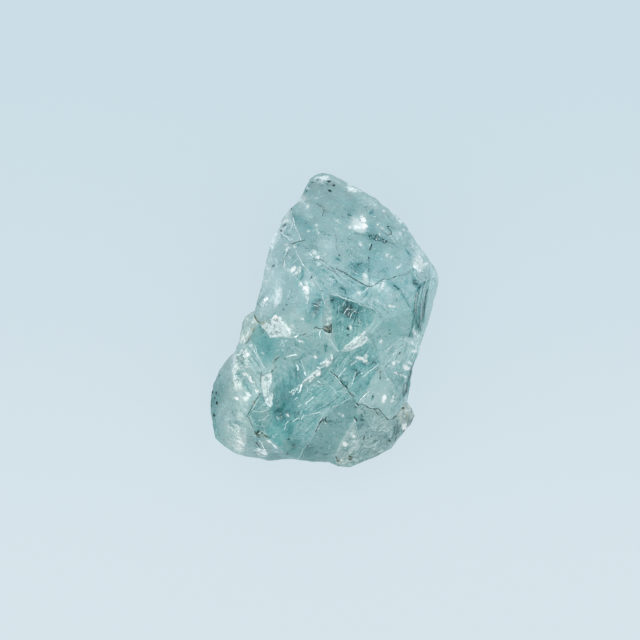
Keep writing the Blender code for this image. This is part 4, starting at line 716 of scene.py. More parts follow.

# %% Soft light and dark clouds under the skin, some of them painted glows round highlights and painted shade along the rims: (x, y, half length, half width, turn, depth)
CLOUDS_AND_PAINTED_LIGHT = (
    (278, 290, 17, 5, 95, -0.35), (239, 441, 15, 6, 78, -0.38), (231, 425, 14, 7, 80, -0.22),
    (237, 373, 20, 5, 80, -0.35), (247, 400, 9, 6, 20, -0.4), (359, 222, 13, 9, 60, -0.35),
    (326, 243, 11, 7, 10, -0.22), (374, 283, 8, 4, 25, -0.45), (386, 292, 9, 6, 30, -0.18),
    (315, 254, 8, 4, 20, -0.3), (301, 200, 8, 5, 110, -0.3), (396, 235, 9, 5, 60, -0.22),
    (352, 190, 8, 4, 20, -0.22), (360, 295, 8, 5, 0, -0.16), (306, 290, 9, 4, 80, -0.25),
    (295, 270, 7, 5, 0, -0.22), (420, 248, 10, 4, 60, -0.25), (400, 350, 12, 6, 110, -0.16),
    (385, 400, 8, 8, 0, -0.1), (330, 310, 14, 3, 85, -0.15), (250, 330, 8, 4, 110, -0.1),
    (265, 451, 8, 5, 10, -0.25), (345, 450, 10, 6, 60, -0.18), (401, 417, 5, 6, 90, -0.4),
    (410, 420, 4, 6, 90, 0.6), (270, 364, 6, 4, 30, -0.14), (228, 432, 9, 3, 70, -0.2),
    (275, 350, 5, 4, 60, 0.1), (260, 400, 10, 5, 100, -0.1), (300, 350, 8, 4, 0, -0.1),
    (318, 305, 12, 5, 100, 0.75), (312, 312, 7, 4, 20, 0.35), (348, 308, 11, 9, 20, 0.5),
    (357, 314, 6, 8, 70, 0.35), (334, 303, 6, 4, 60, 0.12), (376, 238, 12, 4, 20, 0.35),
    (352, 210, 9, 5, 0, 0.25), (372, 229, 6, 5, 0, 0.25), (358, 267, 9, 7, 5, 0.62),
    (338, 259, 5, 3, 0, 0.35), (325.8, 346, 6, 2.2, 85, 0.4), (355, 371, 10, 5, 75, 0.6),
    (345, 384, 7, 4, 110, 0.25), (284, 393, 12, 9, 100, 0.3), (279, 411, 9, 7, 100, 0.3),
    (292, 409, 9, 8, 60, 0.3), (296, 373, 8, 5, 70, 0.45), (278, 423, 7, 5, 30, 0.45),
    (289, 431, 7, 5, 90, 0.5), (293, 446, 5, 3, 30, 0.45), (213, 400, 25, 5, 87, 0.9),
    (217, 390, 14, 5, 100, 0.3), (217, 378, 12, 3, 120, 0.4), (216, 430, 9, 3, 70, 0.35),
    (361, 421, 6, 4, 90, 0.45), (396, 287, 5, 3, 40, 0.2), (404, 299, 8, 2.5, 55, 0.15),
    (363, 287, 4, 3, 0, 0.3), (345, 289, 6, 4, 50, 0.35), (398, 430, 13, 3, 100, 0.4),
    (386, 439, 8, 4, 10, 0.3), (310, 452, 9, 5, 110, 0.22), (330, 448, 10, 8, 100, 0.14),
    (308, 187, 12, 2.5, 120, 0.4), (406, 384, 20, 3, 105, 0.45), (412, 366, 9, 2, 110, 0.45),
    (303, 272, 8, 2.5, 100, 0.4), (340, 176, 12, 2, 20, 0.12), (306, 222, 10, 5, 60, 0.16),
    (266, 346, 12, 6, 100, 0.18), (395, 372, 8, 3, 20, 0.3), (400, 334, 8, 5, 0, 0.22),
    (350, 354, 8, 5, 0, 0.12), (292, 214, 5, 2, 110, 0.3), (371, 430, 6, 3, 0, 0.22),
    (419, 330, 5, 2.5, 110, 0.35), (413, 283, 5, 2.2, 70, 0.45), (290, 456, 12, 3, 0, 0.22),
    (232, 450, 9, 2, 30, 0.25), (290, 387, 6, 4, 60, 0.35), (260, 425, 6, 4, 40, 0.2),
    (353, 403, 5, 4, 0, 0.12), (408, 252, 7, 1.6, 60, 0.35), (268, 280, 42, 7, 107, -0.2),
    (274, 296, 8, 5, 90, -0.2), (289, 224, 7, 6, 0, -0.22), (245, 350, 9, 5, 80, -0.3),
    (240, 385, 9, 5, 60, -0.2), (253, 392, 6, 6, 0, -0.18), (270, 369, 6, 6, 0, -0.42),
    (287, 330, 9, 4, 20, -0.32), (328, 322, 12, 4, 90, -0.18), (330, 363, 8, 3, -20, -0.15),
    (357, 339, 14, 5, -45, -0.35), (312, 385, 10, 4, -30, -0.15), (320, 425, 8, 5, 0, -0.12),
    (382, 391, 14, 6, 110, -0.12), (383, 425, 10, 8, 0, -0.38), (345, 385, 8, 4, 0, -0.12),
    (335, 455, 6, 5, 0, -0.2), (355, 445, 8, 6, 0, -0.1), (356, 227, 8, 5, 0, -0.55),
    (375, 203, 11, 5, 40, -0.2), (395, 236, 6, 6, 0, -0.15), (416, 268, 6, 6, 0, -0.5),
    (410, 287, 4, 5, 0, -0.2), (418, 345, 8, 4, 100, -0.15), (364, 293, 4, 5, 0, 0.25),
    (309, 308, 14, 11, 90, 0.42), (420, 286, 7, 6, 0, 0.2), (420, 318, 12, 7, 100, 0.3),
    (392, 327, 8, 6, 0, 0.12), (267, 340, 8, 5, 0, 0.15), (296, 378, 14, 5, 100, 0.25),
    (295, 396, 10, 7, 0, 0.35), (285, 420, 8, 5, 0, 0.18), (348, 402, 14, 6, 20, 0.12),
    (360, 363, 12, 8, 0, 0.2), (363, 425, 8, 6, 0, 0.2), (279, 456, 14, 5, 0, 0.5),
    (296, 442, 6, 5, 0, 0.25), (310, 450, 8, 7, 0, 0.15), (342, 290, 6, 5, 0, 0.2),
    (352, 213, 6, 5, 0, 0.15), (295, 265, 6, 5, 0, 0.15), (395, 430, 8, 5, 0, 0.1),
    (250, 445, 5, 6, 0, 0.18), (320, 292, 5, 5, 0, 0.15), (354, 270, 8, 6, 0, 0.15),
    (367, 358, 9, 5, -40, 0.28), (307, 447, 8, 8, 0, 0.22), (265, 443, 6, 4, 0, -0.22),
    (347, 450, 5, 6, 0, 0.22), (335, 456, 6, 5, 0, -0.2), (295, 356, 10, 6, 0, -0.16),
    (370, 283, 7, 3, 25, -0.2), (325, 266, 10, 6, 10, -0.2), (312, 258, 7, 5, 0, -0.15),
    (268, 306, 8, 8, 0, -0.32), (251, 325, 5, 4, 0, 0.25), (242, 338, 5, 12, 15, -0.25),
    (257, 352, 6, 5, 0, 0.22), (320, 182, 12, 6, 0, -0.08), (305, 202, 8, 6, 0, -0.14),
    (436, 275, 5, 12, -10, -0.2), (392, 215, 22, 6, 45, -0.12), (395, 328, 8, 6, 0, 0.1),
    (373, 238, 12, 6, 20, 0.3), (377, 249, 7, 7, 0, 0.15), (356, 272, 14, 6, 10, 0.15),
    (346, 310, 8, 10, 0, 0.45), (317, 310, 6, 12, 0, 0.2), (410, 372, 20, 4, 105, 0.45),
    (222, 388, 16, 6, 100, 0.35), (345, 452, 6, 4, 0, 0.3), (283, 457, 10, 4, 0, 0.3),
    (418, 308, 5, 14, 0, 0.2), (420, 320, 5, 9, 0, 0.3), (240, 413, 6, 9, 0, -0.3),
    (278, 328, 12, 6, 0, -0.45), (272, 276, 10, 14, 0, -0.18), (418, 265, 8, 10, 0, -0.3),
    (369, 309, 6, 5, 0, -0.22), (350, 290, 14, 5, 0, 0.15), (312, 381, 8, 6, -30, -0.2),
    (306, 448, 8, 6, 0, 0.12), (310, 180, 5, 8, 20, -0.12), (322, 176, 14, 5, 10, -0.22),
    (345, 448, 5, 5, 0, 0.25), (379, 440, 6, 6, 0, 0.22), (245, 355, 6, 8, 0, -0.22),
    (285, 327, 8, 5, 30, -0.18), (238, 445, 6, 6, 0, -0.2), (260, 315, 5, 4, 0, -0.25),
    (245, 420, 6, 12, 20, -0.18), (345, 360, 10, 6, 120, -0.18), (365, 342, 8, 4, 0, -0.15),
    (300, 372, 6, 7, 0, 0.2), (335, 400, 10, 8, 0, 0.15), (347, 372, 6, 6, 0, 0.18),
    (257, 357, 6, 6, 0, 0.2), (257, 405, 5, 5, 0, 0.22), (365, 358, 5, 6, 0, 0.12),
    (336, 338, 4, 8, 0, 0.18), (395, 430, 8, 5, 0, -0.12), (422, 268, 10, 8, 60, -0.15),
    (330, 250, 18, 8, 90, -0.1), (405, 395, 4, 8, 20, -0.15), (373, 395, 5, 8, 0, -0.15),
    (266, 346, 10, 8, 30, 0.22), (268, 323, 6, 5, 0, 0.25), (318, 365, 8, 8, 0, 0.3),
    (306, 412, 12, 7, 0, 0.2), (395, 377, 12, 5, 0, 0.18), (365, 388, 6, 10, 0, 0.15),
    (371, 287, 10, 4, 10, -0.3), (349, 332, 8, 5, 0, -0.18), (262, 330, 3, 3, 0, 0.1),
    (252, 377, 7, 7, 0, -0.18), (216, 425, 6, 14, -20, 0.18), (375, 255, 9, 14, 0, 0.16),
    (243, 445, 6, 5, 0, -0.22), (270, 415, 8, 8, 0, -0.1), (345, 375, 12, 8, 100, -0.1),
    (232, 390, 5, 7, 0, -0.18), (266, 410, 8, 5, 0, -0.15), (284, 405, 6, 5, 0, -0.1),
    (247, 445, 5, 7, 0, 0.25), (262, 320, 7, 4, 0, -0.2), (268, 250, 26, 4, 108, -0.25),
    (400, 220, 30, 3, 45, -0.18), (352, 183, 22, 3, 32, -0.18), (428, 258, 8, 5, 60, -0.2),
    (270, 248, 32, 5, 108, -0.22), (395, 213, 34, 5, 45, -0.18), (422, 257, 14, 5, 55, -0.28),
    (334, 312, 4, 14, 0, -0.2), (276, 400, 4, 9, 90, 0.25), (347, 315, 6, 5, 30, 0.3),
    (356, 323, 6, 5, 0, 0.2), (306, 212, 5, 12, 0, -0.18), (390, 228, 7, 6, 40, 0.2),
    (371, 225, 5, 6, 0, 0.2), (353, 200, 7, 6, 0, 0.18), (368, 268, 12, 6, 160, 0.15),
    (318, 305, 5, 16, 0, 0.15), (335, 275, 6, 6, 0, -0.2), (258, 393, 5, 5, 0, -0.35),
    (413, 289, 4, 5, 0, -0.2), (382, 372, 7, 5, 30, 0.2), (357, 396, 6, 14, 0, 0.14),
    (252, 351, 6, 4, 0, 0.25), (407, 428, 5, 5, 0, 0.3), (240, 368, 4, 6, 0, 0.2),
    (266, 444, 6, 5, 0, -0.18), (281, 411, 4, 4, 0, -0.25), (320, 408, 22, 5, 0, 0.12),
    (296.5, 220, 7, 3, 62, 0.28), (316, 303, 5, 8, 0, 0.2), (234.5, 369, 14, 2.8, 88, -0.3),
    (236, 384, 6, 3.4, 78, -0.22), (290, 428, 5, 4, 60, 0.15), (294, 445, 3.5, 3, 30, 0.35),
    (360, 384, 5, 10, 0, 0.1), (345, 412, 14, 5, 0, 0.1), (285, 403, 6, 13, 0, 0.22),
    (306, 372, 8, 6, 0, 0.12), (367, 277, 6, 5, 0, 0.15), (417, 258, 6, 7, 55, -0.25),
    (345, 192, 14, 9, 0, -0.1), (410, 420, 4, 7, 90, 0.2), (365, 358, 6, 8, 20, 0.2),
    (398, 382, 8, 9, 0, 0.15), (363, 375, 10, 6, 0, 0.12),
)
print(len(CLOUDS_AND_PAINTED_LIGHT), "soft clouds")

# %% Splintered areas: (turn in degrees or the centre of curved ribs, length, width, strength, corners)
GRAINS = (
    (97, 26, 1.5, 1.05, ((416, 285), (430, 278), (428, 300), (423, 322), (417, 336), (409, 340),
     (411, 312))),
    (-41, 16, 2.2, 0.6, ((299, 390), (333, 360), (345, 366), (352, 398), (322, 418), (303, 447), (291, 436),
     (302, 415))),
    (-48, 14, 2.2, 0.7, ((330, 356), (345, 352), (378, 340), (380, 364), (352, 384), (331, 372))),
    (100, 14, 2, 0.8, ((402, 336), (422, 334), (416, 360), (410, 386), (407, 400), (400, 400), (402, 360))),
    (62, 16, 2.2, 0.7, ((244, 344), (252, 344), (266, 370), (261, 392), (248, 398), (238, 386), (236, 356))),
    ((316, 304), 12, 2, 0.95, ((332, 298), (364, 306), (362, 326), (336, 326))),
    ((300, 330), 12, 2.2, 0.35, ((360, 305), (378, 313), (364, 331), (350, 344), (338, 350), (334, 325))),
    (15, 10, 2, 0.55, ((311, 294), (324, 294), (323, 320), (308, 320))),
    (75, 12, 2.2, 0.5, ((274, 372), (300, 350), (308, 378), (296, 398), (276, 402))),
    ((300, 440), 12, 2.1, 0.45, ((250, 412), (262, 396), (290, 402), (302, 414), (290, 434), (272, 438),
     (256, 430))),
    (-35, 14, 2, 0.55, ((280, 440), (292, 430), (302, 416), (306, 440), (298, 458), (282, 458))),
    (-30, 14, 2.2, 0.7, ((360, 406), (382, 414), (400, 414), (400, 432), (380, 456), (356, 464),
     (358, 430))),
    (100, 14, 1.8, 1.1, ((390, 418), (402, 414), (402, 432), (392, 446), (386, 436))),
    (28, 12, 2.4, 0.5, ((304, 248), (320, 262), (368, 288), (350, 298), (324, 290), (308, 270))),
    (25, 12, 2, 0.9, ((362, 230), (396, 240), (398, 246), (366, 240))),
    ((428, 245), 10, 2, 0.8, ((410, 256), (428, 258), (430, 276), (418, 286), (409, 272))),
    (-50, 14, 2.2, 0.6, ((382, 350), (408, 334), (406, 362), (400, 384), (382, 366))),
)
print(len(GRAINS), "splintered areas")

# %% [markdown]
# ## From the drawing to the skin
#
# A mark could be painted on the points of the skin, but they are 0.1 mm apart and a crack
# is finer. So each point keeps its signed distance from the nearest crack or edge instead.
# Between two points a distance changes evenly, so the place where it passes zero is as thin
# and straight as a drawn line, and the finish decides how wide to ink it.

# %% Distance from a drawn line
def chain_distance(plan, corners):
    """Signed distance of each place from a chain, and how far it lies past the chain's ends."""
    corners = np.array(corners, dtype=float)
    start, run = corners[:-1], np.diff(corners, axis=0)
    length = np.maximum(np.linalg.norm(run, axis=1), 1e-9)
    offset = plan[:, None, :] - start
    along = np.sum(offset * run, axis=2) / length**2
    gap = offset - np.clip(along, 0, 1)[:, :, None] * run
    distance = np.linalg.norm(gap, axis=2)
    best = np.argmin(distance, axis=1)
    rows = np.arange(len(plan))
    side = np.sign(run[best, 0] * gap[rows, best, 1] - run[best, 1] * gap[rows, best, 0])
    before = np.where(best == 0, -along[:, 0], 0) * length[0]
    after = np.where(best == len(run) - 1, along[:, -1] - 1, 0) * length[-1]
    return distance[rows, best] * np.where(side == 0, 1, side), np.maximum(before, after)


place = np.array([[3.0, 4.0]])
print("from (3, 4) to the line along X:", chain_distance(place, ((0, 0), (10, 0)))[0][0])


# %% Distance from an outline or an oval
def inside_distance(plan, corners):
    """Distance from a closed outline, positive inside, by counting the sides to the right."""
    corners = np.array(corners, dtype=float)
    ring = np.concatenate([corners, corners[:1]])
    distance, _ = chain_distance(plan, ring)
    x, y = plan[:, 0, None], plan[:, 1, None]
    (x0, y0), (x1, y1) = ring[:-1].T, ring[1:].T
    crossed = (y0 > y) != (y1 > y)
    where = x0 + (y - y0) * (x1 - x0) / np.where(y1 == y0, 1e-9, y1 - y0)
    within = np.sum(crossed & (x < where), axis=1) % 2 == 1
    return np.abs(distance) * np.where(within, 1, -1)


def oval_distance(plan, x, y, long_half, short_half, turn):
    """1 at an oval's centre, 0 on its rim, negative outside."""
    angle = math.radians(turn)
    east, south = plan[:, 0] - x, plan[:, 1] - y
    along = (east * math.cos(angle) + south * math.sin(angle)) / long_half
    across = (south * math.cos(angle) - east * math.sin(angle)) / short_half
    return 1 - np.hypot(along, across)


square = ((0, 0), (10, 0), (10, 10), (0, 10))
print("(3, 4) lies", inside_distance(place, square)[0], "inside a square of side 10")


# %% Helpers for places and steps
def near(plan, corners, reach):
    """The numbers of the places within reach of the box round some corners."""
    corners = np.array(corners, dtype=float)
    low, high = corners.min(axis=0) - reach, corners.max(axis=0) + reach
    return np.flatnonzero(np.all((plan > low) & (plan < high), axis=1))


def ramp(values, low, high):
    """0 below low, 1 above high, and a smooth step between."""
    t = np.clip((values - low) / (high - low), 0, 1)
    return t * t * (3 - 2 * t)


print("a ramp from 0 to 4 is", ramp(1.0, 0, 4), "at 1 and", ramp(2.0, 0, 4), "at 2")

# %% [markdown]
# The plan shows the stone from above. Its underside needs marks too, so it reads the same
# plan, turned and a little smaller. Nobody sees both sides at once.

# %% Which side of the plan a point reads
UNDER_TURN = math.radians(150)
UNDER_SCALE = 0.92
UPPER_TILT = (-0.30, -0.05)
UPPER_HEIGHT = (1.5, 2.6)

upper = ramp(normals[:, 2], *UPPER_TILT) * ramp(height_of(points), *UPPER_HEIGHT)
top_plan = plan_of(points)
turned = (top_plan - PLAN_CENTRE) / UNDER_SCALE
cosine, sine = math.cos(UNDER_TURN), math.sin(UNDER_TURN)
spin = np.array([[cosine, -sine], [sine, cosine]])
plan = np.where(upper[:, None] > 0.5, top_plan, turned @ spin + PLAN_CENTRE)
print("the upper side has", np.count_nonzero(upper > 0.5), "points; the rest read the plan turned round")

# %% Fields of lines
LINE_REACH = 6.0
LINE_FADE = 3.5
LINE_END = 1.6
FAINTEST = 0.02


def line_fields(lines):
    """(distance over half width, strength) of the nearest line at every point."""
    level = np.full(len(plan), LINE_REACH)
    strength = np.zeros(len(plan))
    for half_width, weight, corners in lines:
        rows = near(plan, corners, LINE_REACH * half_width + 2)
        distance, past = chain_distance(plan[rows], corners)
        scaled = np.clip(distance / half_width, -LINE_REACH, LINE_REACH)
        force = weight * (1 - ramp(past, 0.0, LINE_END))
        force = force * (1 - ramp(np.abs(scaled), LINE_FADE, LINE_REACH))
        closer = (np.abs(scaled) < np.abs(level[rows])) & (force > FAINTEST)
        level[rows] = np.where(closer, scaled, level[rows])
        strength[rows] = np.where(closer, force, strength[rows])
    return level, strength


stain, stain_strength = line_fields(STAINS)
seam, seam_strength = line_fields(SEAMS_AND_EDGE_HIGHLIGHTS)
ochre, ochre_strength = line_fields(OCHRES)
vein, vein_strength = line_fields(VEINS)
print("dark cracks reach", np.count_nonzero(stain_strength), "points of the skin")

# %% Fields of faces and patches
PLAIN_FACE = (1.0, 0.0, 1.0, 0.0)


def face_fields():
    """Depth of colour, greyness, mottling and matt share, each face laid over those before it."""
    fields = np.tile(PLAIN_FACE, (len(plan), 1))
    for *values, softness, corners in FACES:
        rows = near(plan, corners, softness)
        share = ramp(inside_distance(plan[rows], corners), -softness / 2, softness / 2)
        fields[rows] += (values - fields[rows]) * share[:, None]
    return fields.T


def patch_fields(patches):
    """(distance in steps from the nearest outline, positive inside, and its strength)."""
    level = np.full(len(plan), -LINE_REACH)
    strength = np.zeros(len(plan))
    for weight, corners in patches:
        rows = near(plan, corners, LINE_REACH)
        distance = inside_distance(plan[rows], corners)
        nearer = distance > level[rows]
        level[rows] = np.where(nearer, distance, level[rows])
        strength[rows] = np.where(nearer, weight, strength[rows])
    return level, strength


CRUMBLE_FROM_TO = (-1.5, 2.5)

depth, grey, mottle, matt = face_fields()
flake, flake_strength = patch_fields(FLAKES)
crumble, crumble_strength = patch_fields(CRUMBLES)
crumble = crumble_strength * ramp(crumble, *CRUMBLE_FROM_TO)
print("flakes cover", np.count_nonzero(flake > 0), "points")

# %% Fields of spots and clouds
SPOT_REACH = 3.0
USUAL_SOFTNESS = 0.3
CLOUD_AND_LIGHT_REACH = 2.0
CLOUD_AND_LIGHT_FALL = 1.2


def spot_field(spots):
    """Distance in steps from the nearest spot's rim, positive inside, and its softness."""
    level = np.full(len(plan), -SPOT_REACH)
    softness = np.zeros(len(plan))
    for x, y, long_half, short_half, turn, *soft in spots:
        rows = near(plan, ((x, y), (x, y)), (long_half + 1) * SPOT_REACH)
        value = oval_distance(plan[rows], x, y, long_half, short_half, turn) * short_half
        better = value > level[rows]
        level[rows] = np.where(better, value, level[rows])
        softness[rows] = np.where(better, soft[0] if soft else USUAL_SOFTNESS, softness[rows])
    return level, softness


def cloud_and_painted_light_field():
    """The sum of the soft clouds, painted glows and painted rim shade, each a bell that fades at its rim."""
    total = np.zeros(len(plan))
    for x, y, long_half, short_half, turn, amount in CLOUDS_AND_PAINTED_LIGHT:
        rows = near(plan, ((x, y), (x, y)), long_half * CLOUD_AND_LIGHT_REACH)
        inside = 1 - oval_distance(plan[rows], x, y, long_half, short_half, turn)
        total[rows] += amount * np.exp(-CLOUD_AND_LIGHT_FALL * inside**2)
    return total


# The clouds deepen or lighten the colour; some of them are painted glows round highlights and painted shade
# along the rims.
depth = depth + cloud_and_painted_light_field()
glint, glint_soft = spot_field(GLINTS)
speck, _ = spot_field(SPECKS)
print("depth of colour runs from", round(depth.min(), 2), "to", round(depth.max(), 2))

# %% Fields of the grain
GRAIN_EDGE = (-1.0, 3.0)
FOOT_FROM_TO = (290, 330)


def grain_fields():
    """(strength, place along the splinters, place across them), both in splinter sizes."""
    strength, along, across = (np.zeros(len(plan)) for _ in range(3))
    for turn, length, width, weight, corners in GRAINS:
        share = weight * ramp(inside_distance(plan, corners), *GRAIN_EDGE)
        rows = np.flatnonzero(share > strength)
        if isinstance(turn, tuple):
            east, south = (plan[rows] - turn).T
            radius = np.hypot(east, south)
            along[rows] = np.arctan2(south, east) * radius.mean() / length
            across[rows] = radius / width
        else:
            x, y = plan[rows].T
            angle = math.radians(turn)
            along[rows] = (x * math.cos(angle) + y * math.sin(angle)) / length
            across[rows] = (y * math.cos(angle) - x * math.sin(angle)) / width
        strength[rows] = share[rows]
    return strength, along, across


grain, grain_along, grain_across = grain_fields()
foot = ramp(plan[:, 1], *FOOT_FROM_TO)
print("splinters cover", np.count_nonzero(grain), "points")

# %% [markdown]
# ## Relief
#
# Beryl breaks like glass. A break spreads in shells, with low waves that follow its front,
# and where it runs fast it tears into long splinters. The prism face kept its growth lines.
# The relief moves each point along its normal by a sum of such patterns, each with its own
# place and direction, so it shows in the outline and bends the light as the real one does.

# %% Smooth noise
CELL_PRIMES = (73856093, 19349663, 83492791)
SEED_PRIME = 2654435761
MIX_PRIME = 1274126177
LOW_31_BITS = 0x7FFFFFFF
LOW_16_BITS = 0xFFFF


def lattice(cells, seed):
    """A number between 0 and 1 for each whole cell, from its three whole coordinates."""
    x, y, z = (cells[..., axis] * prime for axis, prime in enumerate(CELL_PRIMES))
    mixed = x ^ y ^ z ^ seed * SEED_PRIME
    mixed = (mixed ^ (mixed >> 13)) * MIX_PRIME & LOW_31_BITS
    return ((mixed ^ (mixed >> 16)) & LOW_16_BITS) / LOW_16_BITS


def noise(places, seed=0):
    """Smooth noise between -1 and 1: numbers at whole places, blended between them."""
    cell = np.floor(places).astype(np.int64)
    part = places - cell
    blend = part**3 * (part * (part * 6 - 15) + 10)
    total = np.zeros(len(places))
    for corner in np.ndindex(2, 2, 2):
        corner = np.array(corner)
        weight = np.prod(np.where(corner == 1, blend, 1 - blend), axis=1)
        total += weight * lattice(cell + corner, seed)
    return total * 2 - 1


def wave_noise(size, seed):
    """Noise whose waves are size millimetres long."""
    return noise(points / (size * MM), seed)


print("a few values of the noise:", noise(np.arange(9.0).reshape(3, 3) / 2).round(2))


# %% Shell waves: (x, y of the break's start, wave length in steps, height in mm, from, to)
SHELLS = (
    (330, 150, 13.0, 0.020, 40, 130),
    (240, 300, 11.0, 0.016, 20, 60),
    (352, 288, 5.5, 0.022, 8, 40),
    (398, 360, 9.0, 0.016, 10, 50),
    (270, 395, 6.0, 0.022, 8, 45),
    (200, 410, 9.0, 0.018, 12, 45),
    (352, 392, 10.0, 0.016, 10, 75),
    (255, 318, 6.5, 0.018, 6, 50),
)
print(len(SHELLS), "breaks send out shell waves")

# %% The relief is a sum, with each height in millimetres
SWELLS = ((0.050, 1.7, 1), (0.026, 0.75, 2), (0.010, 0.33, 3))
SPLINTER_HEIGHT, SPLINTER_WIDTH, SPLINTER_SEED = 0.060, 2.2, 21
SHELL_WOBBLE, WOBBLE_WAVES = 2.5, (1.4, 11)
SHELL_RISE, SHELL_FALL = 8, 15
FLAKE_HEIGHT, FLAKE_SLOPE = 0.03, (-0.8, 0.6)
FLAKE_ROUGH, ROUGH_WAVES = 0.05, (0.28, 5)
CRACK_DEPTH, SEAM_HEIGHT = 0.05, 0.03
GLINT_DENT, DENT_SLOPE = 0.05, (-1.0, 1.5)


def relief():
    """Swells, splinters, shells, raised flakes and seams, sunk cracks and dents, added up."""
    height = sum(size * wave_noise(length, seed) for size, length, seed in SWELLS)
    across = grain_across / SPLINTER_WIDTH
    grain_places = np.stack([grain_along, across, 0 * grain_along], axis=1)
    splinters = noise(grain_places, SPLINTER_SEED)
    height += SPLINTER_HEIGHT * grain * splinters
    for x, y, length, size, first, last in SHELLS:
        radius = np.hypot(plan[:, 0] - x, plan[:, 1] - y)
        share = ramp(radius, first, first + SHELL_RISE)
        share = share * (1 - ramp(radius, last - SHELL_FALL, last))
        wobble = wave_noise(*WOBBLE_WAVES) * SHELL_WOBBLE
        height += share * size * np.sin((radius + wobble) / length * 2 * math.pi)
    rough = FLAKE_ROUGH * wave_noise(*ROUGH_WAVES)
    height += ramp(flake, *FLAKE_SLOPE) * (FLAKE_HEIGHT + rough)
    height -= CRACK_DEPTH * stain_strength * np.exp(-(stain**2) / 2)
    height += SEAM_HEIGHT * seam_strength * np.exp(-(seam**2) / 4)
    height -= GLINT_DENT * ramp(glint, *DENT_SLOPE)
    return height


RELIEF_FROM_TO = (0.02, 0.6)

rise = relief() * ramp(height_of(points), *RELIEF_FROM_TO)
points = points + normals * (rise * MM)[:, None]
print("relief from", round(rise.min(), 3), "to", round(rise.max(), 3), "mm")

# %% Break up the face that the stone lies on
BED_PITS = 0.35
BED_FROM_TO = (0.02, 0.5)
PIT_WAVES = ((0.7, 1.6, 31), (0.3, 0.7, 32))

pits = sum(share * np.abs(wave_noise(length, seed)) for share, length, seed in PIT_WAVES)
bed_share = 1 - ramp(height_of(points), *BED_FROM_TO)
points[:, 2] += BED_PITS * MM * pits * bed_share
normals = point_normals(points, triangles)
print("the bed has pits up to", round((pits * bed_share).max() * BED_PITS, 2), "mm deep")

# %% [markdown]
# ## Writing a finish as sums
#
# A finish in Blender is a graph of nodes. Long chains of Math nodes are hard to read, so a
# small class stands for a socket and lets Python's own signs add the nodes: `1 - mask`
# puts in a Subtract node. Every other node comes from one method of the graph.

# %% A socket that takes part in sums
class Wire:
    """A node's output in a graph. Each operator adds the Math node that it needs."""

    def __init__(self, graph, socket):
        self.graph, self.socket = graph, socket

    def math(self, operation, *values):
        settings = {"operation": operation}
        return self.graph.node("ShaderNodeMath", settings, dict(enumerate(values)))

    def __add__(self, other):
        return self.math("ADD", self, other)

    def __mul__(self, other):
        return self.math("MULTIPLY", self, other)

    def __sub__(self, other):
        return self.math("SUBTRACT", self, other)

    def __rsub__(self, other):
        return self.math("SUBTRACT", other, self)

    def __truediv__(self, other):
        return self.math("DIVIDE", self, other)

    def __abs__(self):
        return self.math("ABSOLUTE", self)

    __radd__, __rmul__ = __add__, __mul__

    def larger(self, other):
        return self.math("MAXIMUM", self, other)

    def smaller(self, other):
        return self.math("MINIMUM", self, other)

    def step(self, low, high):
        """0 where this is below low, 1 above high, a smooth step between."""
        settings = {"interpolation_type": "SMOOTHSTEP"}
        sockets = {"Value": self, "From Min": low, "From Max": high, "To Min": 0.0, "To Max": 1.0}
        return self.graph.node("ShaderNodeMapRange", settings, sockets)

# %% The graph that holds the nodes
class Graph:
    """The nodes of one material or world."""

    def __init__(self, owner):
        owner.use_nodes = True
        self.tree = owner.node_tree
        self.tree.nodes.clear()

    def node(self, kind, settings=None, sockets=None, output=0):
        """Adds a node, sets it, joins its sockets, and gives one of its outputs."""
        made = self.tree.nodes.new(kind)
        for name, value in (settings or {}).items():
            if name == "stops":
                self.set_stops(made.color_ramp, value)
            else:
                setattr(made, name, value)
        for name, value in (sockets or {}).items():
            if isinstance(value, Wire):
                self.tree.links.new(value.socket, made.inputs[name])
            else:
                made.inputs[name].default_value = value
        return Wire(self, made.outputs[output]) if made.outputs else made

    @staticmethod
    def set_stops(color_ramp, stops):
        """Puts (place, colour) stops on a colour ramp."""
        while len(color_ramp.elements) < len(stops):
            color_ramp.elements.new(0.5)
        for element, (place, colour) in zip(color_ramp.elements, stops):
            element.position, element.color = place, (*colour, 1.0)

    def attribute(self, name):
        """The number that each point of the mesh keeps under a name."""
        return self.node("ShaderNodeAttribute", {"attribute_name": name}, output="Fac")

    def noise(self, size, detail=2.0, roughness=0.5, distortion=0.0):
        """Blender's noise from 0 to 1, with waves of size millimetres."""
        places = self.node("ShaderNodeTexCoord", output="Object")
        return self.node("ShaderNodeTexNoise", None, {
            "Vector": places, "Scale": 1 / (size * MM), "Detail": detail,
            "Roughness": roughness, "Distortion": distortion})

    def mix(self, share, first, second, way="MIX"):
        """One colour where share is 0 and the other, or their product, where it is 1."""
        settings = {"data_type": "RGBA", "clamp_factor": True, "blend_type": way}
        return self.node("ShaderNodeMix", settings, {0: share, 6: first, 7: second}, output=2)

    def mix_shader(self, share, below, above):
        """The shader below where share is 0, and the one above where it is 1."""
        return self.node("ShaderNodeMixShader", None, {0: share, 1: below, 2: above})


print("Wire and Graph are ready")
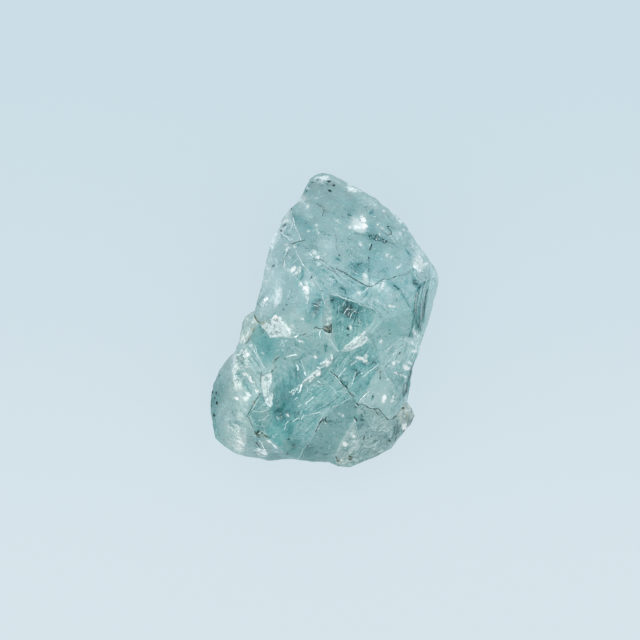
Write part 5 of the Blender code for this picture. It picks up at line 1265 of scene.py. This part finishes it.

# %% [markdown]
# ## The stone's finish
#
# Aquamarine is clear beryl, coloured by a trace of iron that drinks red light. The deeper
# the stone, the deeper its colour, so the tint is a ramp over a depth. A rough stone is
# also partly cloudy, full of tiny tubes and healed breaks. So the finish mixes a clear glass
# with a cloudy body, and lays frost, bright spots that are painted highlights, and dirt over them by their
# masks.

# %% Colours of the stone
TINTS = (
    (0.00, (0.93, 0.97, 0.97)),
    (0.20, (0.558, 0.722, 0.724)),
    (0.40, (0.318, 0.525, 0.531)),
    (0.60, (0.118, 0.374, 0.386)),
    (0.80, (0.042, 0.266, 0.278)),
    (1.00, (0.006, 0.085, 0.095)),
)
FULL_DEPTH = 2.45
HEAD_CAST = (0.98, 1.0, 1.03, 1.0)
FOOT_CAST = (1.0, 0.995, 0.97, 1.0)
RUST_COLOUR = (0.012, 0.034, 0.022, 1.0)
DIRT_COLOUR = (0.006, 0.034, 0.038, 1.0)
OCHRE_COLOUR = (0.33, 0.34, 0.19, 1.0)
# The glint colour paints highlights. The frost colour paints the frosted flakes and also the painted glow
# round each highlight.
FROST_AND_GLOW_COLOUR = (0.86, 0.97, 0.97, 1.0)
GLINT_COLOUR = (1.0, 1.0, 1.0, 1.0)
# The pale line colour paints worn edges, and also painted edge highlights and painted sparkles.
PALE_LINE_AND_HIGHLIGHT_COLOUR = (0.84, 0.95, 0.96, 1.0)
WARM_GREY = (1.04, 1.0, 0.93)
MOST_GREY = 0.75


def grey_of(stops, share):
    """The ramp's stops, each moved towards a warm grey of the same brightness."""
    moved = []
    for place, colour in stops:
        level = sum(colour) / 3
        greyer = tuple(c + (level * w - c) * share for c, w in zip(colour, WARM_GREY))
        moved.append((place, greyer))
    return tuple(moved)


print("the tint runs over", len(TINTS), "stops down to a depth of", FULL_DEPTH)

# %% [markdown]
# ## Patterns that no list could hold
#
# Between the drawn marks the stone has a finer grain than anyone would draw: mottling,
# splinters, hair-thin healed cracks and crumbs, with painted sparkle highlights among them.
# They all come from noises. A hair-thin line is where a noise passes its middle value, and
# a crumb or a sparkle is where it comes near its top.

# %% Three noises
FINE = 0.13
MIDDLE = 0.55
BROAD = 1.9
SPREAD = (0.30, 0.70)

aquamarine = bpy.data.materials.new("aquamarine")
graph = Graph(aquamarine)
field = graph.attribute
fine = graph.noise(FINE).step(*SPREAD)
middle = graph.noise(MIDDLE, 3.0, 0.62, distortion=0.5).step(*SPREAD)
broad = graph.noise(BROAD).step(*SPREAD)
ragged = (fine - 0.5) * 0.9 + (middle - 0.5) * 0.8
print("three noises, with waves of", FINE, MIDDLE, "and", BROAD, "mm")

# %% Splinters along the drawn grain
DARK_SPLINTER = (0.53, 0.64)
PALE_SPLINTER = (0.56, 0.66)

grain_here = field("grain")
grain_place = graph.node("ShaderNodeCombineXYZ", None, {
    0: field("grain_along"),
    1: field("grain_across") + (middle - 0.5) * 0.3 + (broad - 0.5) * 1.4,
    2: 0.0})
splinter = graph.node("ShaderNodeTexNoise", None, {
    "Vector": grain_place, "Scale": 1.0, "Detail": 3.0, "Roughness": 0.62})
dark_splinter = splinter.step(*DARK_SPLINTER) * grain_here
patchy = (broad * 0.5 + middle).step(0.5, 0.9)
pale_splinter = (1 - splinter).step(*PALE_SPLINTER) * grain_here * patchy
print("splinters added, with", len(graph.tree.nodes), "nodes so far")

# %% Healed cracks, crumbs and painted sparkles
CRUMB_TOP = 0.74
CRUMB_EDGE = 0.04
RUBBLE = 0.40


def hairs(size, width, distortion):
    """Thin crooked lines, where a noise passes its middle value."""
    value = graph.noise(size, 4.0, 0.6, distortion)
    return 1 - (abs(value - 0.5) * 2).step(0.0, width)


def crumbs(size, share):
    """Small irregular spots, fewer as share falls."""
    low = CRUMB_TOP - share
    return graph.noise(size, 2.0, 0.7).step(low, low + CRUMB_EDGE)


pale_hairs = hairs(1.3, 0.045, 1.4) * (middle * broad).step(0.36, 0.60)
dark_hairs = hairs(1.1, 0.040, 0.8) * (middle * (1 - broad)).step(0.30, 0.50)
# The bright crumbs are painted sparkle highlights; the dark ones are dark grains of the stone.
painted_sparkles = crumbs(0.24, 0.07) * middle.step(0.5, 0.75)
dark_crumbs = crumbs(0.20, 0.06) * (1 - middle).step(0.5, 0.8)
crumbled = field("crumble")
rubble = graph.noise(RUBBLE, 3.0, 0.65).step(0.34, 0.66)
pale_rubble = graph.noise(0.36, 2.0, 0.6).step(0.58, 0.68) * crumbled
brown_rubble = graph.noise(0.30, 2.0, 0.6).step(0.62, 0.70) * crumbled
print("hairs, crumbs and rubble are ready")

# %% [markdown]
# ## Inking the drawn lines
#
# A line field holds the distance from the drawn line over its half width, so 1 is its edge.
# Noise added to the distance makes the edge ragged, and a smooth step turns it into ink.
# A crack also gets a pale lip beside it, where its edge has chipped.

# %% Masks of the lines: (raggedness, where the ink is full, where it ends)
LINE_INK = {
    "vein": (0.9, 0.2, 1.4),
    "stain": (0.8, 0.45, 1.20),
    "seam": (0.8, 0.3, 1.3),
    "ochre": (1.2, 0.3, 1.3),
}
LIP_PLACE = 1.9


def inked(name):
    """1 on a drawn line and 0 beside it, with a ragged edge, times the line's strength."""
    raggedness, full, end = LINE_INK[name]
    ink = 1 - (abs(field(name)) + ragged * raggedness).step(full, end)
    return ink * field(name + "_strength")


def worn(low, high):
    """A patchy mask between 0 and 1, 0 where the ink has worn thin."""
    return (fine * 0.5 + middle * 0.7).step(low, high)


vein_here = inked("vein") * (worn(0.40, 0.62) * 0.7 + 0.45)
stain_here = inked("stain") * (worn(0.42, 0.56) * 0.65 + 0.35) * 1.4
ochre_here = inked("ochre")
# The seams are worn edges and, in part, painted edge highlights.
seam_and_highlight_here = inked("seam") * (middle + 0.60)
lip = 1 - abs(field("stain") - LIP_PLACE + ragged * 0.6).step(0.2, 0.9)
lip = lip * field("stain_strength") * middle.step(0.45, 0.7)
print("lines are inked with", len(graph.tree.nodes), "nodes so far")

# %% All that is pale and thin, by its strength, with painted edge highlights and painted sparkles among it
PALE_MARKS_AND_SPARKLES = (
    (pale_splinter, 0.6),
    (pale_hairs, 0.55),
    (painted_sparkles, 0.7),
    (lip, 0.8),
    (pale_rubble, 0.8),
)

pale_line_and_highlight_here = seam_and_highlight_here
for mask, strength in PALE_MARKS_AND_SPARKLES:
    pale_line_and_highlight_here = pale_line_and_highlight_here.larger(mask * strength)
pale_line_and_highlight_here = pale_line_and_highlight_here.smaller(1.0)
print(len(PALE_MARKS_AND_SPARKLES), "kinds of pale mark join the bright lines")

# %% Masks of the flakes
SHARD_SIZE = 0.34 * MM
FLAKE_EDGE = (-0.35, 0.45)
SPOT_RAGGED = 1.5

places = graph.node("ShaderNodeTexCoord", output="Object")
shards = graph.node("ShaderNodeTexVoronoi", None, {
    "Vector": places, "Scale": 1 / SHARD_SIZE, "Randomness": 1.0}, output="Color")
shard = graph.node("ShaderNodeSeparateColor", None, {0: shards})
crackle = hairs(0.30, 0.10, 1.5)
flake_edge = (field("flake") + ragged * SPOT_RAGGED).step(*FLAKE_EDGE)
flake_bright = shard * 0.6 + fine * 0.4 + middle * 0.3 - crackle * 0.2 - dark_crumbs * 0.3
flake_bright = flake_bright.step(0.22, 0.60) * 0.78 + 0.42
flake_here = flake_edge * flake_bright * field("flake_strength")
flake_here = flake_here * (1 - vein_here * 0.7)
print("flakes are broken into shards of", SHARD_SIZE / MM, "mm")

# %% Masks of the spots: a painted highlight with a hard middle and a painted glow round it, and dark specks
GLINT_EDGE = (-0.25, 0.25)
GLOW_EDGE = (-1.6, 0.4)
SPECK_EDGE = (-0.15, 0.35)

glint_place = field("glint") + ragged * SPOT_RAGGED
softness = field("glint_soft")
# Each glint is a painted highlight, and the glow round it is a painted glow of that highlight.
glint_here = glint_place.step(*GLINT_EDGE) * (1 - softness * 0.7)
glow_here = glint_place.step(*GLOW_EDGE) * (softness * 0.40 + 0.25)
speck_here = (field("speck") + ragged * 0.8).step(*SPECK_EDGE)
print("masks are made from", len(graph.tree.nodes), "nodes")

# %% [markdown]
# ## Depth, tint and relief
#
# Everything dark in the stone is drawn as deeper stone: a vein, a splinter in shade, a mottled
# patch or the painted shade along the rims only adds to the depth, and one ramp turns depth
# into colour. Where old breaks have weathered, the same depth looks greyer, and the stone's
# foot is a little warmer than its head. A bump, far finer than the skin's points, gives the breaks their
# sparkle.

# %% Depth and tint
SPLINTER_DEPTH = 0.75
HAIR_DEPTH = 1.1
CRUMB_DEPTH = 1.6
VEIN_DEPTH = 1.05
RUBBLE_DEPTH = 0.8
VEIN_GREYNESS = 0.15

mottling = (broad - 0.5) * 0.30 + (middle - 0.5) * 0.60 + (fine - 0.5) * 0.26
depth_here = (
    field("depth")
    + mottling * field("mottle")
    + dark_splinter * SPLINTER_DEPTH
    + dark_hairs * HAIR_DEPTH
    + dark_crumbs * CRUMB_DEPTH
    + vein_here * (middle * 0.75 + VEIN_DEPTH)
    + (rubble - 0.5) * crumbled * RUBBLE_DEPTH
)
ramp_place = depth_here / FULL_DEPTH
pure_tint = graph.node("ShaderNodeValToRGB", {"stops": TINTS}, {"Fac": ramp_place})
grey_stops = grey_of(TINTS, MOST_GREY)
grey_tint = graph.node("ShaderNodeValToRGB", {"stops": grey_stops}, {"Fac": ramp_place})
greyness = field("grey").larger(vein_here * VEIN_GREYNESS)
at_foot = field("foot")
cast = graph.mix(at_foot, HEAD_CAST, FOOT_CAST)
tint = graph.mix(1.0, graph.mix(greyness, pure_tint, grey_tint), cast, "MULTIPLY")
print("depth is turned into colour")

# %% Relief finer than the skin's points
BUMP_HEIGHT = 0.07 * MM
BUMP_STRENGTH = 0.7

height = fine * 0.2 + middle * 0.5 + flake_edge * (shard * 0.6 - crackle * 0.5)
height = height - dark_splinter * 0.5 - stain_here * 0.5
bump = graph.node("ShaderNodeBump", None, {
    "Strength": BUMP_STRENGTH, "Distance": BUMP_HEIGHT, "Height": height})
print("the bump is up to", BUMP_HEIGHT / MM, "mm high")

# %% [markdown]
# ## Glass, cloud, matt break and dirt
#
# The clear glass uses plain transmission with beryl's own index of refraction. The cloudy
# body has the same gloss but lets no light through. A torn break is matt, and dirt is
# rough and almost black. Each is one shader, laid over the one before by its mask.

# %% The clear glass
BERYL_IOR = 1.577
GLASS_CLARITY = 0.10
GLASS_ROUGH = 0.03

glass_tint = graph.mix(GLASS_CLARITY, tint, (1.0, 1.0, 1.0, 1.0))
glass = graph.node("ShaderNodeBsdfPrincipled", None, {
    "Base Color": glass_tint, "Roughness": GLASS_ROUGH, "IOR": BERYL_IOR,
    "Transmission Weight": 1.0, "Normal": bump})
print("light bends by an index of", BERYL_IOR)

# %% The cloudy body, the matt break and the dirt
BODY_ROUGH = 0.10
MATT_ROUGH = 0.60
MATT_SHINE = 0.15
DIRT_ROUGH = 0.9

# The glow and the bright spots are painted highlights, and the pale lines are in part painted edge
# highlights and painted sparkles.
LAYERS = (
    (glow_here, FROST_AND_GLOW_COLOUR),
    (pale_line_and_highlight_here, PALE_LINE_AND_HIGHLIGHT_COLOUR),
    (flake_here, FROST_AND_GLOW_COLOUR),
    (glint_here, GLINT_COLOUR),
    (ochre_here.larger(brown_rubble * 0.5), OCHRE_COLOUR),
)

body_colour = tint
for mask, colour in LAYERS:
    body_colour = graph.mix(mask, body_colour, colour)
body = graph.node("ShaderNodeBsdfPrincipled", None, {
    "Base Color": body_colour, "Roughness": BODY_ROUGH, "IOR": BERYL_IOR, "Normal": bump})
matt_body = graph.node("ShaderNodeBsdfPrincipled", None, {
    "Base Color": body_colour, "Roughness": MATT_ROUGH, "Specular IOR Level": MATT_SHINE,
    "Normal": bump})
dirt_colour = graph.mix(at_foot, DIRT_COLOUR, RUST_COLOUR)
dirt = graph.node("ShaderNodeBsdfPrincipled", None, {
    "Base Color": dirt_colour, "Roughness": DIRT_ROUGH, "Specular IOR Level": 0.0})
print("body, matt break and dirt are ready")

# %% How they are laid over each other
CLOUDINESS = 0.45
CLEAR_BELOW = 0.85
VEIN_COVER = 0.9

covered = (broad - 0.5) * 0.20 + (middle - 0.5) * 0.20 + CLOUDINESS
milky = (CLEAR_BELOW - depth_here) * 1.3
for mask in (milky, flake_here, glint_here, pale_line_and_highlight_here, ochre_here, vein_here * VEIN_COVER):
    covered = covered.larger(mask)
covered = covered.smaller(1.0).larger(0.0)
torn = field("matt").larger(vein_here).smaller(1.0)
dirty = stain_here.larger(speck_here).smaller(1.0)
surface = graph.mix_shader(covered, glass, body)
surface = graph.mix_shader(torn, surface, matt_body)
surface = graph.mix_shader(dirty, surface, dirt)
print("four shaders are laid over each other")

# %% [markdown]
# Inside the stone the light is drunk on its way, red first. A lamp's light would stop at
# glass, because a path tracer can't aim through it, so for lamp rays the stone is simply
# open and pale, and what lies behind it isn't left in the dark.

# %% Light through the stone
SHADOW_TINT = (0.84, 0.92, 0.92, 1.0)
DRINK_TINT = (0.50, 0.84, 0.84, 1.0)
DRINK_DENSITY = 20.0

lamp_ray = graph.node("ShaderNodeLightPath", output="Is Shadow Ray")
open_way = graph.node("ShaderNodeBsdfTransparent", None, {"Color": SHADOW_TINT})
surface = graph.mix_shader(lamp_ray, surface, open_way)
drink = graph.node("ShaderNodeVolumeAbsorption", None, {
    "Color": DRINK_TINT, "Density": DRINK_DENSITY})
graph.node("ShaderNodeOutputMaterial", None, {"Surface": surface, "Volume": drink})
print("the finish has", len(graph.tree.nodes), "nodes")

# %% [markdown]
# ## Putting the stone together
#
# The skin becomes a mesh, and every field goes with it as one number for each point, under
# the name by which the finish asks for it. The mesh then takes the place of the plain solid.

# %% Put the skin into a mesh with its fields
def mesh_of(name, points, triangles, material):
    """A mesh object at the origin."""
    mesh = bpy.data.meshes.new(name)
    mesh.from_pydata(points, [], triangles)
    mesh.materials.append(material)
    mesh.update()
    made = bpy.data.objects.new(name, mesh)
    bpy.context.scene.collection.objects.link(made)
    return made


def keep_field(thing, name, values):
    """Stores one number for each point of a mesh."""
    kept = thing.data.attributes.new(name, "FLOAT", "POINT")
    kept.data.foreach_set("value", values.astype(np.float32))


FIELDS = {
    "depth": depth, "grey": grey, "mottle": mottle, "matt": matt, "foot": foot,
    "stain": stain, "stain_strength": stain_strength,
    "seam": seam, "seam_strength": seam_strength,
    "ochre": ochre, "ochre_strength": ochre_strength,
    "vein": vein, "vein_strength": vein_strength,
    "flake": flake, "flake_strength": flake_strength, "crumble": crumble,
    "glint": glint, "glint_soft": glint_soft, "speck": speck,
    "grain": grain, "grain_along": grain_along, "grain_across": grain_across,
}
print(len(FIELDS), "fields go with the skin")

# %% The stone
RIDGE_TURN = math.radians(30)

stone = mesh_of("aquamarine", points, triangles, aquamarine)
stone.data.set_sharp_from_angle(angle=RIDGE_TURN)
for name, values in FIELDS.items():
    keep_field(stone, name, values)
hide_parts("crystal")
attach(stone, "root")
print(stone.name, "has", len(stone.data.polygons), "triangles")

# %% [markdown]
# ## Light pad, room and camera
#
# A gem dealer lays a stone on a pale light pad and looks straight down on it. The pad's
# own glow fills in most of the stone's shade. The room is a soft dome, dim at the horizon
# and overhead and bright in a ring between them. Flat faces mirror the dim part overhead
# and steep ones the ring, and light that slips out sideways through the rim comes back
# dark. Two small windows give the breaks sharp bright spots, beside the painted highlights.

# %% The light pad
PAD_COLOUR = ((0.494, 0.602, 0.655), (0.575, 0.656, 0.697))
PAD_SKIN = (0.085, 0.100, 0.110, 1.0)
PAD_GLOW = 1.0
PAD_HALF = 1.0
PAD_DROP = 0.02 * MM
PAD_FADE = (0.024, -0.024)


def light_pad():
    """A flat sheet just under the stone, a little paler towards the viewer."""
    signs = ((-1, -1), (1, -1), (1, 1), (-1, 1))
    corners = [(x * PAD_HALF, y * PAD_HALF, -PAD_DROP) for x, y in signs]
    material = bpy.data.materials.new("pale_pad")
    graph = Graph(material)
    places = graph.node("ShaderNodeTexCoord", output="Object")
    y = graph.node("ShaderNodeSeparateXYZ", None, {0: places}, output="Y")
    colour = graph.mix(y.step(*PAD_FADE), (*PAD_COLOUR[0], 1), (*PAD_COLOUR[1], 1))
    plate = graph.node("ShaderNodeBsdfPrincipled", None, {
        "Base Color": PAD_SKIN, "Roughness": 0.95, "Specular IOR Level": 0.0,
        "Emission Color": colour, "Emission Strength": PAD_GLOW})
    graph.node("ShaderNodeOutputMaterial", None, {"Surface": plate})
    sheet = mesh_of("light_pad", corners, [(0, 1, 2, 3)], material)
    return sheet


print("the pad is", light_pad().name)

# %% The room
SKY = 0.48
RING = 1.38
HORIZON = 0.60
RING_FROM_TO = (0.10, 0.50)
SKY_FROM_TO = (0.75, 0.97)


def soft_room():
    """A dome of light, dim at the horizon and overhead, and bright in a ring between them."""
    world = bpy.data.worlds.new("room")
    bpy.context.scene.world = world
    graph = Graph(world)
    way = graph.node("ShaderNodeTexCoord", output="Generated")
    up = graph.node("ShaderNodeSeparateXYZ", None, {0: way}, output="Z")
    strength = up.step(*RING_FROM_TO) * (RING - HORIZON) + HORIZON
    strength = strength - up.step(*SKY_FROM_TO) * (RING - SKY)
    light = graph.node("ShaderNodeBackground", None, {"Color": (1, 1, 1, 1), "Strength": strength})
    graph.node("ShaderNodeOutputWorld", None, {"Surface": light})


soft_room()
print("the dome's ring is", round(RING / SKY, 1), "times as bright as what is overhead")

# %% Two small windows: (name, place, size, watts)
WINDOWS = (
    ("window_right", (0.12, 0.16, 0.22), 0.08, 0.12),
    ("window_left", (-0.22, 0.02, 0.12), 0.05, 0.05),
)
STONE_MIDDLE = Vector((0, 0, 6 * MM))


def window(name, place, size, watts):
    """A square lamp that faces the stone."""
    data = bpy.data.lights.new(name, "AREA")
    data.shape = "SQUARE"
    data.size = size
    data.energy = watts
    lamp = bpy.data.objects.new(name, data)
    lamp.location = place
    aim = STONE_MIDDLE - Vector(place)
    lamp.rotation_euler = aim.to_track_quat("-Z", "Y").to_euler()
    bpy.context.scene.collection.objects.link(lamp)


for name, place, size, watts in WINDOWS:
    window(name, place, size, watts)
print(len(WINDOWS), "windows light the stone")

# %% The camera, straight above
NEAREST_SEEN = 0.01

camera_data = bpy.data.cameras.new("camera")
camera_data.lens = LENS
camera_data.sensor_width = SENSOR
camera_data.clip_start = NEAREST_SEEN
camera = bpy.data.objects.new("camera", camera_data)
aim_x, aim_y = (SHEET_MIDDLE - PLAN_CENTRE) * np.array([1.0, -1.0]) * PLAN_STEP
camera.location = (aim_x, aim_y, OUTLINE_HEIGHT + EYE_DISTANCE)
bpy.context.scene.collection.objects.link(camera)
bpy.context.scene.camera = camera
bpy.context.scene.view_settings.view_transform = "Standard"
print("camera", round(camera.location.z / MM), "mm above the pad")
